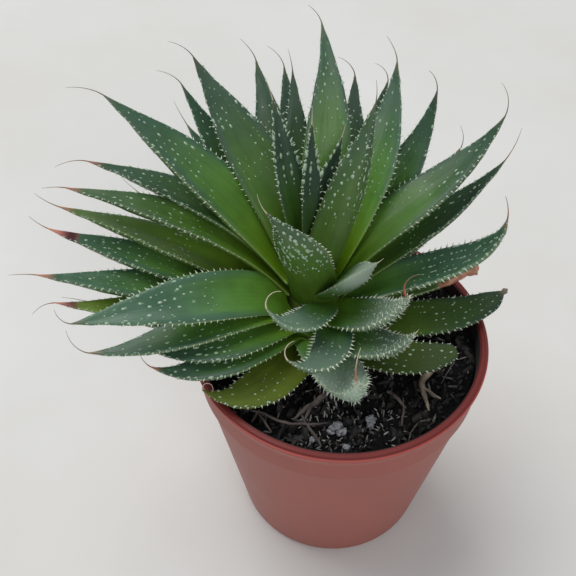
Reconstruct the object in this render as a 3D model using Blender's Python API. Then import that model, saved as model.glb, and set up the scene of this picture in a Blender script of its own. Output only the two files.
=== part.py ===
"""Potted lace aloe: a plastic nursery pot, its soil, and a rosette of separate leaves round a short stem.

Units are metres, +Z is up. The origin is the middle of the pot's foot, on the surface it stands on.
Azimuths are degrees anticlockwise from +X, seen from above. -Y is the side that faces the viewer.
"""

import collections
import math

import bmesh
import bpy
from mathutils import Quaternion, Vector
from mathutils.bvhtree import BVHTree

MM = 0.001

# Pot: an injection-moulded nursery pot with a rolled lip and a shallow collar
POT_HEIGHT = 78 * MM
POT_LIP_RADIUS = 43 * MM
POT_LIP_HEIGHT = 3.0 * MM
POT_LIP_EDGE = 0.8 * MM
POT_LIP_DROP = 0.2 * MM
POT_COLLAR_RADIUS = 41.6 * MM
POT_COLLAR_HEIGHT = 13 * MM
POT_COLLAR_FLARE = 0.3 * MM
POT_STEP = 0.9 * MM
POT_STEP_HEIGHT = 0.8 * MM
POT_FOOT_RADIUS = 30.4 * MM
POT_FOOT_EDGE = 1.3 * MM
POT_FOOT_RISE = 1.5 * MM
POT_FOOT_WIDTH = 4 * MM
POT_PAD_RADIUS = 10 * MM
POT_DRAFT = 1 * MM
POT_WALL = 1.2 * MM
POT_SIDES = 48
DRAIN_HOLES = 6
DRAIN_HOLE_RADIUS = 3 * MM
DRAIN_HOLE_SIDES = 10
DRAIN_RING_RADIUS = 18 * MM
DRAIN_CUT_FROM = -2 * MM
DRAIN_CUT_TO = 6 * MM

# Gap kept between pieces that touch
GAP = 0.3 * MM

# Soil: fills the pot to just under the lip. Its top is rough: sines that cross in several directions,
# each with its share of the height, its turns per mm along X and along Y in radians, and its phase.
SOIL_TOP = 73 * MM
SOIL_RINGS = 7
SOIL_LUMP = 0.5 * MM
SOIL_WAVES = (
    (0.5, 0.34, 0.30, 1.3),
    (0.5, 0.34, -0.30, 1.3),
    (0.7, 0.24, 0.41, 0.4),
    (0.6, 0.36, -0.19, 1.6),
)

# Stem: a short upright stub that stands in a plain hole in the soil and narrows to the growing point
STEM_PLACE = Vector((-9 * MM, 8 * MM, 0))
STEM_BOTTOM = 58 * MM
STEM_BOTTOM_EDGE = 3 * MM
STEM_BOTTOM_RADIUS = 6 * MM
STEM_SHOULDER = 76 * MM
STEM_TOP = 104 * MM
STEM_RADIUS = 8.0 * MM
STEM_TOP_RADIUS = 1.5 * MM
STEM_SIDES = 16

# Leaf outline: the stations are shares of the blade's length, and the widths shares of its full width
LEAF_STATIONS = (0.0, 0.1, 0.24, 0.4, 0.56, 0.72, 0.86, 0.96)
TEETH_IN_SEGMENT = (0, 1, 1, 2, 2, 2, 1)
ROOT_WIDTH = 0.5
WIDEST_AT = 0.32
TAPER_FROM = 0.42
TAPER_POWER = 1.3
BLUNT_POWER = 0.5
LEAST_POINTED_AWN = 2
HANDLE = 0.36

# Leaf section: thickness as a share of the width, then each point as a share of the thickness or the width
THICKNESS = 0.19
ROOT_THICKNESS = 0.36
THICKEST_AT = 0.45
TIP_THICKNESS = 0.45
LEAST_THICKNESS = 0.75 * MM
DISH = 0.13
LEAST_BELLY = 0.5
TOP_POINT_OUT = 0.55
TOP_POINT_DISH = 0.4
TOP_POINT_RISE = 0.1
TOP_MIDDLE_RISE = 0.04
UNDER_POINT_OUT = 0.58
UNDER_POINT_DROP = 0.7

# Teeth along both edges, and the awn, which is three-sided and goes on from the tip
TOOTH_LENGTH = 1.0 * MM
LEAST_TOOTH = 0.4
TOOTH_HALF_WIDTH = 0.4 * MM
AWN_HALF_WIDTH = 0.34 * MM
AWN_RISE = 0.3 * MM
AWN_SHARES = (1.0, 0.85)

# Each leaf, outermost first. Its tip lies at (azimuth, elevation, reach in mm) from the crown. Then, in
# degrees against the line from root to tip: how much the root rises, how much the tip rises, how far it
# swings sideways and how far it rolls. Then the width and the awn's length in mm, and the awn's bend.
Leaf = collections.namedtuple("Leaf", "azimuth elevation reach lift curl sweep roll width awn awn_bend")
CROWN = Vector((-9 * MM, 8 * MM, 86 * MM))
LEAVES = (
    (3, -3, 58, 4, 0, 30, 0, 13, 1.5, 0),
    (334, 0, 46, 2, -6, 50, 0, 12, 1.5, 30),
    (229, -3, 44, 4, -2, -70, 0, 13, 6, 50),
    (55, 12, 56, 12, -8, 0, 0, 12, 7, 30),
    (108, 14, 58, 12, -8, 0, 0, 12, 7, 30),
    (8, 4, 49, 10, 0, 0, 0, 9, 1.5, 0),
    (215, 0, 52, 8, -4, -50, 0, 12, 5, 30),
    (150, 12, 60, 12, -8, 0, 0, 12, 7, 30),
    (288, 6, 38, -15, 85, 20, -10, 15, 4, 0),
    (192, 9, 61, 8, -4, -20, 0, 12, 9, -20),
    (28, 16, 58, 10, 0, 0, 0, 12, 6, 30),
    (212, 7, 50, 14, -12, -45, 0, 12, 5, 30),
    (313, 22, 42, -6, 26, 30, 0, 12, 2, 30),
    (80, 22, 60, 12, -8, 0, 0, 12, 7, 30),
    (193, 11, 72, 6, -4, -10, 0, 12, 9, -20),
    (260, 20, 38, 8, -8, -90, 25, 10, 7, 60),
    (206, 7, 66, 14, -12, -25, 0, 12, 8, 40),
    (3, 27, 60, -12, 56, 0, 0, 12, 8, 10),
    (35, 28, 62, 8, 8, 0, 0, 12, 6, 30),
    (130, 26, 64, 10, -6, 0, 0, 12, 7, 30),
    (190, 16, 77, 6, -4, 0, 0, 13, 8, 10),
    (318, 35, 41, -4, 20, 30, 0, 12, 3, 30),
    (16, 34, 67, 0, 14, 0, 0, 11, 9, 10),
    (181, 21, 76, 8, 0, 0, 0, 13, 9, 20),
    (204, 15, 70, 30, -28, -20, -20, 14, 9, 60),
    (62, 42, 66, 4, 6, 0, 0, 12, 6, 20),
    (98, 40, 68, 6, -4, 0, 0, 12, 7, 30),
    (178, 25, 75, 8, -4, 10, 0, 12, 10, 20),
    (245, 37, 34, 8, -8, -90, 28, 9, 8, 60),
    (42, 46, 68, -6, 26, 20, 0, 12, 10, 60),
    (132, 39, 71, 6, -4, 0, 0, 12, 7, 20),
    (20, 42, 74, -2, 20, 0, 0, 14, 10, 30),
    (175, 28, 75, 16, -12, 10, 0, 12, 10, 20),
    (167, 31, 73, 8, -6, 20, 0, 12, 8, -10),
    (316, 51, 37, 4, -6, 5, 0, 12, 3, 30),
    (239, 66, 52, 8, -14, -20, 35, 14, 7, -10),
    (109, 47, 69, 2, 4, 0, -15, 13, 7, 60),
    (157, 41, 80, 14, -12, 0, 0, 16, 9, 10),
    (56, 53, 70, -6, 18, 35, 0, 13, 9, 50),
    (72, 50, 64, 2, 4, 20, 0, 12, 7, 40),
    (129, 46, 75, 4, 0, 0, -20, 15, 7, 20),
    (97, 54, 64, 2, 2, 0, 0, 10, 5, 10),
    (86, 58, 76, 2, 0, 25, 0, 13, 5, 20),
    (41, 69, 61, 2, 4, 0, -120, 12, 5, 10),
    (120, 70, 59, 2, 0, 0, 0, 8, 6, 10),
    (63, 67, 47, 2, 0, 0, 40, 7, 4, 10),
    (90, 81, 55, 2, 0, 0, 40, 6, 4, 10),
)

# Where the roots go: steeper leaves sit higher on the stem. A leaf that meets another has its root lifted
# (mm) or turned, or its tip nudged (degrees), whichever costs least.
LOWEST_ROOT = 76 * MM
HIGHEST_ROOT = 97 * MM
STEEPEST = 80
ROOT_HEIGHT_POWER = 1.2
SWEEP_AT_ROOT = 0.5
SEAT_STEP = 0.2 * MM
ROOT_LIFTS = (0, 0.5, 1, 1.5, 2, 2.5, 3, 3.5, 4, 5, 6, 7, 8, 9, 10, 12)
ROOT_TURNS = (0, 6, -6, 12, 20)
TIP_NUDGES = (0, 2, -2, 4)
TURN_COST = 0.12
NUDGE_COST = 0.7

POT_SHARP_ANGLE = 40
LEAF_SHARP_ANGLE = 50


def clear_scene():
    for obj in list(bpy.data.objects):
        bpy.data.objects.remove(obj)


def make_material(name, color, roughness):
    material = bpy.data.materials.new(name)
    material.use_nodes = True
    shader = material.node_tree.nodes["Principled BSDF"]
    shader.inputs["Base Color"].default_value = (*color, 1)
    shader.inputs["Roughness"].default_value = roughness
    shader.inputs["Metallic"].default_value = 0
    return material


def add_object(name, mesh, material, sharp_angle=POT_SHARP_ANGLE):
    mesh.materials.append(material)
    mesh.shade_smooth()
    mesh.set_sharp_from_angle(angle=math.radians(sharp_angle))
    obj = bpy.data.objects.new(name, mesh)
    bpy.context.scene.collection.objects.link(obj)
    return obj


def mesh_from(name, points, faces):
    """A closed mesh with its faces turned outwards."""
    mesh = bpy.data.meshes.new(name)
    mesh.from_pydata(points, [], faces)
    shape = bmesh.new()
    shape.from_mesh(mesh)
    bmesh.ops.recalc_face_normals(shape, faces=shape.faces)
    shape.to_mesh(mesh)
    shape.free()
    return mesh


def ring_faces(rings, sides):
    """The quads between rings of points laid one after another, and a flat cap at each end."""
    faces = [tuple(range(sides))]
    for row in range(rings - 1):
        for i in range(sides):
            j = (i + 1) % sides
            low, high = row * sides, (row + 1) * sides
            faces.append((low + i, low + j, high + j, high + i))
    last = (rings - 1) * sides
    faces.append(tuple(range(last, last + sides)))
    return faces


def turned(name, profile, sides, centre=Vector((0, 0, 0))):
    """A profile of (radius, height) turned about a vertical line. Its ends are closed by flat caps."""
    points = []
    for radius, height in profile:
        for i in range(sides):
            angle = 2 * math.pi * i / sides
            points.append(centre + Vector((radius * math.cos(angle), radius * math.sin(angle), height)))
    return mesh_from(name, points, ring_faces(len(profile), sides))


def pot_outer_radius(height):
    """The lower wall's outer radius, which widens evenly from the foot to the collar."""
    collar_bottom = POT_HEIGHT - POT_COLLAR_HEIGHT
    top = POT_COLLAR_RADIUS - POT_STEP
    return POT_FOOT_RADIUS + (top - POT_FOOT_RADIUS) * height / collar_bottom


def make_pot(material):
    collar_bottom = POT_HEIGHT - POT_COLLAR_HEIGHT
    lip_bottom = POT_HEIGHT - POT_LIP_HEIGHT
    floor_top = POT_FOOT_RISE + POT_WALL
    foot_inside = POT_FOOT_RADIUS - POT_FOOT_WIDTH
    profile = [
        (POT_PAD_RADIUS, 0),
        (POT_PAD_RADIUS + POT_DRAFT, POT_FOOT_RISE),
        (foot_inside - POT_DRAFT, POT_FOOT_RISE),
        (foot_inside, 0),
        (POT_FOOT_RADIUS - POT_FOOT_EDGE, 0),
        (POT_FOOT_RADIUS, POT_FOOT_EDGE),
        (pot_outer_radius(collar_bottom), collar_bottom),
        (POT_COLLAR_RADIUS, collar_bottom + POT_STEP_HEIGHT),
        (POT_COLLAR_RADIUS + POT_COLLAR_FLARE, lip_bottom),
        (POT_LIP_RADIUS, lip_bottom + POT_LIP_EDGE),
        (POT_LIP_RADIUS, POT_HEIGHT - POT_LIP_EDGE),
        (POT_LIP_RADIUS - POT_LIP_EDGE, POT_HEIGHT),
        (POT_COLLAR_RADIUS - POT_WALL, POT_HEIGHT - POT_LIP_DROP),
        (POT_COLLAR_RADIUS - POT_WALL - POT_LIP_DROP, collar_bottom),
        (pot_outer_radius(collar_bottom) - POT_WALL, collar_bottom - POT_STEP_HEIGHT),
        (pot_outer_radius(floor_top) - POT_WALL, floor_top),
    ]
    pot = add_object("pot", turned("pot", profile, POT_SIDES), material)
    cutters = bpy.data.collections.new("drain_cutters")
    bpy.context.scene.collection.children.link(cutters)
    ends = [(DRAIN_HOLE_RADIUS, DRAIN_CUT_FROM), (DRAIN_HOLE_RADIUS, DRAIN_CUT_TO)]
    for i in range(DRAIN_HOLES):
        angle = 2 * math.pi * i / DRAIN_HOLES
        middle = Vector((DRAIN_RING_RADIUS * math.cos(angle), DRAIN_RING_RADIUS * math.sin(angle), 0))
        mesh = turned("drain_cutter", ends, DRAIN_HOLE_SIDES, middle)
        cutter = bpy.data.objects.new(f"drain_cutter_{i + 1}", mesh)
        cutter.hide_render = True
        cutter.display_type = "WIRE"
        cutters.objects.link(cutter)
    drain = pot.modifiers.new("drain_holes", "BOOLEAN")
    drain.operation = "DIFFERENCE"
    drain.operand_type = "COLLECTION"
    drain.collection = cutters
    return pot


def soil_surface(x, y):
    """Height of the soil: level, but rough."""
    lumps = 0.0
    for share, along_x, along_y, phase in SOIL_WAVES:
        lumps += share * math.sin((along_x * x + along_y * y) / MM + phase)
    return SOIL_TOP + SOIL_LUMP * lumps


def make_soil(material):
    """Rings run from the hole that the stem stands in out to the pot's wall, then down and under."""
    inset = POT_WALL + GAP
    wall_radius = POT_COLLAR_RADIUS - POT_LIP_DROP - inset
    collar_bottom = POT_HEIGHT - POT_COLLAR_HEIGHT
    floor_top = POT_FOOT_RISE + POT_WALL + GAP
    hole_radius = STEM_RADIUS + GAP
    middle = Vector((0, 0, 0))
    rings = [(STEM_PLACE, hole_radius, STEM_BOTTOM - GAP)]
    for ring in range(SOIL_RINGS + 1):
        share = ring / SOIL_RINGS
        rings.append((STEM_PLACE * (1 - share), hole_radius + (wall_radius - hole_radius) * share, None))
    rings.append((middle, wall_radius, collar_bottom))
    rings.append((middle, pot_outer_radius(collar_bottom) - inset, collar_bottom - POT_STEP_HEIGHT))
    rings.append((middle, pot_outer_radius(floor_top) - inset, floor_top))
    points = []
    for centre, radius, height in rings:
        for i in range(POT_SIDES):
            angle = 2 * math.pi * i / POT_SIDES
            x = centre.x + radius * math.cos(angle)
            y = centre.y + radius * math.sin(angle)
            points.append(Vector((x, y, soil_surface(x, y) if height is None else height)))
    mesh = mesh_from("soil", points, ring_faces(len(rings), POT_SIDES))
    return add_object("soil", mesh, material)


def stem_radius(height):
    if height <= STEM_SHOULDER:
        return STEM_RADIUS
    share = (height - STEM_SHOULDER) / (STEM_TOP - STEM_SHOULDER)
    return STEM_RADIUS + (STEM_TOP_RADIUS - STEM_RADIUS) * share


def make_stem(material):
    profile = [
        (STEM_BOTTOM_RADIUS, STEM_BOTTOM),
        (STEM_RADIUS, STEM_BOTTOM + STEM_BOTTOM_EDGE),
        (STEM_RADIUS, STEM_SHOULDER),
        (STEM_TOP_RADIUS, STEM_TOP),
    ]
    return add_object("stem", turned("stem", profile, STEM_SIDES, STEM_PLACE), material)


def direction(azimuth, rise):
    a = math.radians(azimuth)
    r = math.radians(rise)
    return Vector((math.cos(a) * math.cos(r), math.sin(a) * math.cos(r), math.sin(r)))


def azimuth_of(vector):
    return math.degrees(math.atan2(vector.y, vector.x))


def rise_of(vector):
    return math.degrees(math.atan2(vector.z, math.hypot(vector.x, vector.y)))


def midline(leaf, root):
    """The four control points of the blade's midline, from its root to its tip."""
    tip = CROWN + direction(leaf.azimuth, leaf.elevation) * leaf.reach * MM
    chord = tip - root
    handle = chord.length * HANDLE
    heading, rise = azimuth_of(chord), rise_of(chord)
    leaving = direction(heading - SWEEP_AT_ROOT * leaf.sweep, rise + leaf.lift)
    arriving = direction(heading + leaf.sweep, rise + leaf.curl)
    return root, root + leaving * handle, tip - arriving * handle, tip


def leaf_frames(leaf, root, stations):
    """(point, side, up) at each station along the midline. Past 1 is the awn, which goes on bending."""
    a, b, c, d = midline(leaf, root)
    length = (d - a).length
    frames = []
    for t in stations:
        u = min(t, 1.0)
        point = a * (1 - u) ** 3 + b * 3 * u * (1 - u) ** 2 + c * 3 * u * u * (1 - u) + d * u ** 3
        along = ((b - a) * (1 - u) ** 2 + (c - b) * 2 * u * (1 - u) + (d - c) * u * u).normalized()
        level = direction(azimuth_of(d - a) + 90 + leaf.sweep * u, 0)
        side = (level - along * along.dot(level)).normalized()
        if t > 1:
            share = (t - 1) * length / (leaf.awn * MM)
            bend = Quaternion(side, -math.radians(leaf.awn_bend * share / 2))
            point = point + bend @ along * (t - 1) * length
            along = bend @ bend @ along
        side = Quaternion(along, math.radians(leaf.roll)) @ side
        frames.append((point, side, along.cross(side)))
    return frames


def taper_power(leaf):
    return BLUNT_POWER if leaf.awn < LEAST_POINTED_AWN else TAPER_POWER


def width_share(t, power):
    """The blade's width at share t of its length, as a share of its full width."""
    if t < WIDEST_AT:
        return ROOT_WIDTH + (1 - ROOT_WIDTH) * math.sin(math.pi / 2 * t / WIDEST_AT)
    if t < TAPER_FROM:
        return 1.0
    return math.sin(math.pi / 2 * (1 - t) / (1 - TAPER_FROM)) ** power


def thickness_share(t):
    """The blade's thickness at share t of its length: thin where it clasps the stem."""
    if t < THICKEST_AT:
        return ROOT_THICKNESS + (1 - ROOT_THICKNESS) * t / THICKEST_AT
    return 1 - (1 - TIP_THICKNESS) * (t - THICKEST_AT) / (1 - THICKEST_AT)


def section(t, leaf, grow):
    """The ring of eight (side, up) points at share t: left edge, three on top, right edge, three below."""
    width = leaf.width * MM
    half = width / 2 * width_share(t, taper_power(leaf)) + AWN_HALF_WIDTH + grow
    thick = max(THICKNESS * width * thickness_share(t), LEAST_THICKNESS)
    edge = DISH * half * (1 - t)
    top = edge * TOP_POINT_DISH + thick * TOP_POINT_RISE + grow
    belly = max(thick - edge, thick * LEAST_BELLY)
    under = belly * UNDER_POINT_DROP + grow
    return (
        (-half, edge),
        (-half * TOP_POINT_OUT, top),
        (0, thick * TOP_MIDDLE_RISE + grow),
        (half * TOP_POINT_OUT, top),
        (half, edge),
        (half * UNDER_POINT_OUT, -under),
        (0, -belly - grow),
        (-half * UNDER_POINT_OUT, -under),
    )


def fan(faces, inner_a, inner_b, outer):
    """Triangles between one inner edge and the outer points beside it, split at the middle."""
    middle = len(outer) // 2
    for i in range(middle):
        faces.append((inner_a, outer[i], outer[i + 1]))
    faces.append((inner_a, outer[middle], inner_b))
    for i in range(middle, len(outer) - 1):
        faces.append((inner_b, outer[i], outer[i + 1]))


def tooth_stations():
    """For each segment between two stations, the shares of the length at which its teeth stand."""
    rows = []
    for start, end, count in zip(LEAF_STATIONS, LEAF_STATIONS[1:], TEETH_IN_SEGMENT):
        rows.append([start + (end - start) * (i + 0.5) / count for i in range(count)])
    return rows


def awn_faces(last, rings, tip):
    """The end of the blade closed onto the awn's first ring, then the awn itself."""
    left, right, keel = rings[0]
    faces = [(last[0], last[1], left), (last[1], last[2], left), (last[2], right, left)]
    faces += [(last[2], last[3], right), (last[3], last[4], right), (last[4], last[5], right)]
    faces += [(last[5], keel, right), (last[5], last[6], keel), (last[6], last[7], keel)]
    faces += [(last[7], left, keel), (last[7], last[0], left)]
    for i in range(3):
        j = (i + 1) % 3
        faces.append((rings[0][i], rings[0][j], rings[1][j]))
        faces.append((rings[0][i], rings[1][j], rings[1][i]))
        faces.append((rings[1][i], rings[1][j], tip))
    return faces


def leaf_mesh(name, leaf, root, grow=0.0):
    """A thick blade with teeth along both edges and a thin awn at its tip."""
    length = (midline(leaf, root)[3] - root).length
    half_tooth = TOOTH_HALF_WIDTH / length
    teeth = tooth_stations()
    feet = [t + shift for row in teeth for t in row for shift in (-half_tooth, 0, half_tooth)]
    awn_stations = [1 + leaf.awn * MM / length * share for share in (0.0, 0.5, 1.0)]
    stations = [*LEAF_STATIONS, *feet, *awn_stations]
    frames = dict(zip(stations, leaf_frames(leaf, root, stations)))
    points = []

    def put(t, across, up):
        point, side, normal = frames[t]
        points.append(point + side * across + normal * up)
        return len(points) - 1

    rings = [[put(t, x, y) for x, y in section(t, leaf, grow)] for t in LEAF_STATIONS]
    faces = [tuple(rings[0])]
    for low, high, row in zip(rings, rings[1:], teeth):
        for a, b in ((1, 2), (2, 3), (5, 6), (6, 7)):
            faces.append((low[a], low[b], high[b]))
            faces.append((low[a], high[b], high[a]))
        for edge, near_top, near_bottom, outward in ((0, 1, 7, -1), (4, 3, 5, 1)):
            outer = [low[edge]]
            for t in row:
                tooth = TOOTH_LENGTH * (LEAST_TOOTH + (1 - LEAST_TOOTH) * width_share(t, taper_power(leaf)))
                x, y = section(t, leaf, grow)[edge]
                for shift, out in ((-half_tooth, 0), (0, tooth), (half_tooth, 0)):
                    outer.append(put(t + shift, x + outward * out, y))
            outer.append(high[edge])
            fan(faces, low[near_top], high[near_top], outer)
            fan(faces, low[near_bottom], high[near_bottom], outer)

    awn_rings = []
    for t, share in zip(awn_stations, AWN_SHARES):
        thin = (AWN_HALF_WIDTH + grow) * share
        awn_rings.append([put(t, -thin, AWN_RISE), put(t, thin, AWN_RISE), put(t, 0, -thin)])
    faces += awn_faces(rings[-1], awn_rings, put(awn_stations[-1], 0, 0))
    return mesh_from(name, points, faces)


def tree_of(mesh):
    corners = [v.co.copy() for v in mesh.vertices]
    return BVHTree.FromPolygons(corners, [tuple(p.vertices) for p in mesh.polygons])


def seat_on_stem(leaf, height):
    """The root's place at this height: as near the stem as its root section allows."""
    turn = leaf.roll * math.sin(math.radians(leaf.elevation)) - SWEEP_AT_ROOT * leaf.sweep
    outward = direction(leaf.azimuth + turn, 0)
    ring = [(0, 0), *section(0.0, leaf, GAP)]
    reach = 0.0
    while True:
        root = STEM_PLACE + outward * reach + Vector((0, 0, height))
        point, side, up = leaf_frames(leaf, root, (0.0,))[0]
        offsets = [point + side * x + up * y - STEM_PLACE for x, y in ring]
        if all(math.hypot(at.x, at.y) > stem_radius(at.z) + GAP or at.z > STEM_TOP + GAP for at in offsets):
            return root
        reach += SEAT_STEP


def place_leaf(leaf, trees):
    """The leaf as it ends up and its root: the cheapest way to set it clear of the pieces already there."""
    ways = []
    for lift in ROOT_LIFTS:
        for turn in ROOT_TURNS:
            for nudge in TIP_NUDGES:
                ways.append((lift + TURN_COST * abs(turn) + NUDGE_COST * abs(nudge), lift, turn, nudge))
    steep = max(leaf.elevation, 0) / STEEPEST
    base = LOWEST_ROOT + (HIGHEST_ROOT - LOWEST_ROOT) * steep ** ROOT_HEIGHT_POWER
    for _, lift, turn, nudge in sorted(ways):
        tried = leaf._replace(elevation=leaf.elevation + nudge, lift=leaf.lift + turn)
        root = seat_on_stem(tried, base + lift * MM)
        outline = tree_of(leaf_mesh("outline", tried, root, GAP))
        if not any(outline.overlap(tree) for tree in trees):
            return tried, root
    raise ValueError("a leaf has no clear place: change its row in LEAVES")


def make_leaves(material, others):
    trees = [tree_of(other.data) for other in others]
    for index, row in enumerate(LEAVES):
        leaf, root = place_leaf(Leaf(*row), trees)
        mesh = leaf_mesh(f"leaf_{index + 1:02d}", leaf, root)
        trees.append(tree_of(mesh))
        add_object(mesh.name, mesh, material, LEAF_SHARP_ANGLE)


def main():
    clear_scene()
    plastic = make_material("pot_plastic", (0.42, 0.10, 0.07), 0.5)
    peat = make_material("soil", (0.02, 0.016, 0.014), 0.95)
    bark = make_material("stem", (0.25, 0.30, 0.10), 0.6)
    green = make_material("leaf", (0.07, 0.20, 0.06), 0.45)
    pot = make_pot(plastic)
    soil = make_soil(peat)
    make_stem(bark)
    make_leaves(green, [pot, soil])


main()
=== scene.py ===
# %% [markdown]
# # A potted lace aloe
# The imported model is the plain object: a pot, its soil, a short stem and 47 leaves, each one a closed
# solid in its true place. This lesson dresses that model. It measures each plain leaf and grows a finer
# blade in its place, then adds what makes this plant what it is: white teeth along the edges, rows of
# pearly bumps, soft bristles and hair-thin tips. Every leaf has a number, from the outermost inwards,
# and all tables of leaves go by that number.

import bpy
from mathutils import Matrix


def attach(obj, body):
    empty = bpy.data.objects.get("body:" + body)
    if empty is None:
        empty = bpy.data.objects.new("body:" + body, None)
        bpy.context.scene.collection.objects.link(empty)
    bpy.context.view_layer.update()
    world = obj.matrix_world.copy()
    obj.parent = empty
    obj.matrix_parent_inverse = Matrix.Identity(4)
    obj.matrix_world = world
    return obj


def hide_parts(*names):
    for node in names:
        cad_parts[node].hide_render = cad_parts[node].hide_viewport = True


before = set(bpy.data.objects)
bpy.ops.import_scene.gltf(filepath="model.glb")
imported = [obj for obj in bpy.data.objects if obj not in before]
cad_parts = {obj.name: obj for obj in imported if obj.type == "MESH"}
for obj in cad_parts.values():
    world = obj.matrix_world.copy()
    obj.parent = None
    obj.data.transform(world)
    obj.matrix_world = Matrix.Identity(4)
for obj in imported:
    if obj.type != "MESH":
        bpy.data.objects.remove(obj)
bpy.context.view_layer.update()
leaf_nodes = {int(name[-2:]): name for name in sorted(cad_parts) if name.startswith("leaf_")}
print("leaves to dress:", len(leaf_nodes))

# %% Tools
import heapq
import math

import bmesh
import bpy
import numpy as np
from mathutils import Vector, noise

MM = 0.001


def add_object(name, data):
    thing = bpy.data.objects.new(name, data)
    bpy.context.scene.collection.objects.link(thing)
    return thing


def mesh_of(name, shape):
    """The mesh of a bmesh, which is used up."""
    mesh = bpy.data.meshes.new(name)
    shape.to_mesh(mesh)
    shape.free()
    return mesh


def evaluated_mesh(thing):
    """What an object's modifiers make of it, as a plain mesh."""
    return bpy.data.meshes.new_from_object(thing.evaluated_get(bpy.context.evaluated_depsgraph_get()))


# %% [markdown]
# ## Camera
# The photograph looks steeply down at the plant. Its angle was found from the pot: the ellipse of the
# lip, the foot and the height between them fix how far away the camera is and how far it is tipped.
# A focal length of 850 pixels in a frame 576 pixels wide is a lens of about 53 mm on a 36 mm sensor.

# %% Camera
FRAME_WIDTH = 576
FOCAL_PIXELS = 850
SENSOR_WIDTH = 36
CAMERA_PLACE = Vector((-15, -158.5, 268.5)) * MM
CAMERA_DOWN = 47.3

lens = bpy.data.cameras.new("camera")
lens.sensor_width = SENSOR_WIDTH
lens.lens = SENSOR_WIDTH * FOCAL_PIXELS / FRAME_WIDTH
lens.clip_start = 10 * MM
camera = add_object("camera", lens)
camera.location = CAMERA_PLACE
camera.rotation_euler = (math.radians(90 - CAMERA_DOWN), 0, 0)
bpy.context.scene.camera = camera
print("lens in mm:", round(lens.lens, 1))

# %% [markdown]
# ## Floor and light
# The plant stands on a pale plastered surface in the light of a window. A broad lamp above and behind
# gives the leaves their soft sheen, a weaker one in front keeps the pot from going dark, and the world
# gives an even pale glow. The shadow on the floor is only a faint grey.

# %% Light
LAMPS = {
    # name: place in metres, side of the square in metres, power in watts, colour
    "window": ((-1.20, 1.30, 3.20), 3.0, 100.0, (1.0, 0.995, 0.98)),
    "room": ((0.60, -1.9, 1.5), 1.4, 16.0, (1.0, 0.98, 0.95)),
}
LAMPS_FACE = Vector((0, 0, 0.08))
WORLD_COLOR = (0.86, 0.89, 0.93)
WORLD_STRENGTH = 0.38

for name, (place, side, power, color) in LAMPS.items():
    data = bpy.data.lights.new(name, "AREA")
    data.size, data.energy, data.color = side, power, color
    lamp = add_object(name, data)
    lamp.location = place
    lamp.rotation_euler = (LAMPS_FACE - lamp.location).to_track_quat("-Z", "Y").to_euler()
world = bpy.data.worlds.new("studio")
world.use_nodes = True
world.node_tree.nodes["Background"].inputs["Color"].default_value = (*WORLD_COLOR, 1)
world.node_tree.nodes["Background"].inputs["Strength"].default_value = WORLD_STRENGTH
bpy.context.scene.world = world
bpy.context.scene.view_settings.view_transform = "Standard"
print("lamps:", ", ".join(LAMPS))

# %% [markdown]
# ## Nodes in few words
# Materials and geometry trees are both nets of nodes. A few helpers keep them readable: each makes one
# node, feeds its sockets with other sockets or with plain values, and returns what comes out of it.

# %% Node helpers
SOCKET_KINDS = {float: "Float", int: "Int", tuple: "Color"}


def feed(tree, node, values):
    """Feeds sockets, by name or place, each with another socket or with a plain value."""
    for name, value in values.items():
        socket = node.inputs[name]
        if isinstance(value, bpy.types.NodeSocket):
            tree.links.new(value, socket)
        else:
            socket.default_value = (*value, 1) if socket.type == "RGBA" else value


def add_node(tree, kind, *fed, **values):
    """A node. The named values go to its properties and sockets, the others to its first sockets."""
    node = tree.nodes.new(kind)
    for name, value in values.items():
        if name in node.inputs:
            feed(tree, node, {name: value})
        else:
            setattr(node, name, value)
    feed(tree, node, dict(enumerate(fed)))
    return node


def new_group(name, kind, inputs, outputs):
    """A group with its sockets. A default value tells a socket's kind, or else a word names it."""
    tree = bpy.data.node_groups.new(name, kind)
    for label, value in inputs.items():
        word = value if isinstance(value, str) else SOCKET_KINDS[type(value)]
        socket = tree.interface.new_socket(label, in_out="INPUT", socket_type=f"NodeSocket{word}")
        if word is not value:
            socket.default_value = value
    for label, word in outputs.items():
        tree.interface.new_socket(label, in_out="OUTPUT", socket_type=f"NodeSocket{word}")
    return tree, tree.nodes.new("NodeGroupInput").outputs, tree.nodes.new("NodeGroupOutput")


def calculated(tree, operation, *values, clamp=False):
    return add_node(tree, "ShaderNodeMath", *values, operation=operation, use_clamp=clamp).outputs[0]


def product(tree, first, *others):
    for value in others:
        first = calculated(tree, "MULTIPLY", first, value)
    return first


def vector_of(tree, operation, *values, **named):
    return add_node(tree, "ShaderNodeVectorMath", *values, operation=operation, **named).outputs[0]


def joined(tree, x, y, z):
    return add_node(tree, "ShaderNodeCombineXYZ", x, y, z).outputs[0]


# %% Colour helpers


def mixed(tree, factor, low, high, blend="MIX"):
    node = add_node(tree, "ShaderNodeMix", data_type="RGBA", blend_type=blend, Factor=factor, A=low, B=high)
    return node.outputs["Result"]


def map_range(tree, value, low, high, to_low=0, to_high=1):
    """The value carried softly from one range to another, and held at its ends."""
    node = add_node(tree, "ShaderNodeMapRange", value, low, high, to_low, to_high)
    node.interpolation_type = "SMOOTHSTEP"
    return node.outputs["Result"]


def attribute_of(tree, name, output="Fac"):
    return add_node(tree, "ShaderNodeAttribute", attribute_name=name).outputs[output]


# %% [markdown]
# ## A tone shared by the materials
# No living or moulded surface has one even colour. `uneven_tone` mixes two colours by soft noise, and
# puts out the mix and the noise itself, which also drives roughness and bump. It reads Object
# coordinates unless a material gives it others, such as a leaf's own, along and across the blade.

# %% The uneven tone group


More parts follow.
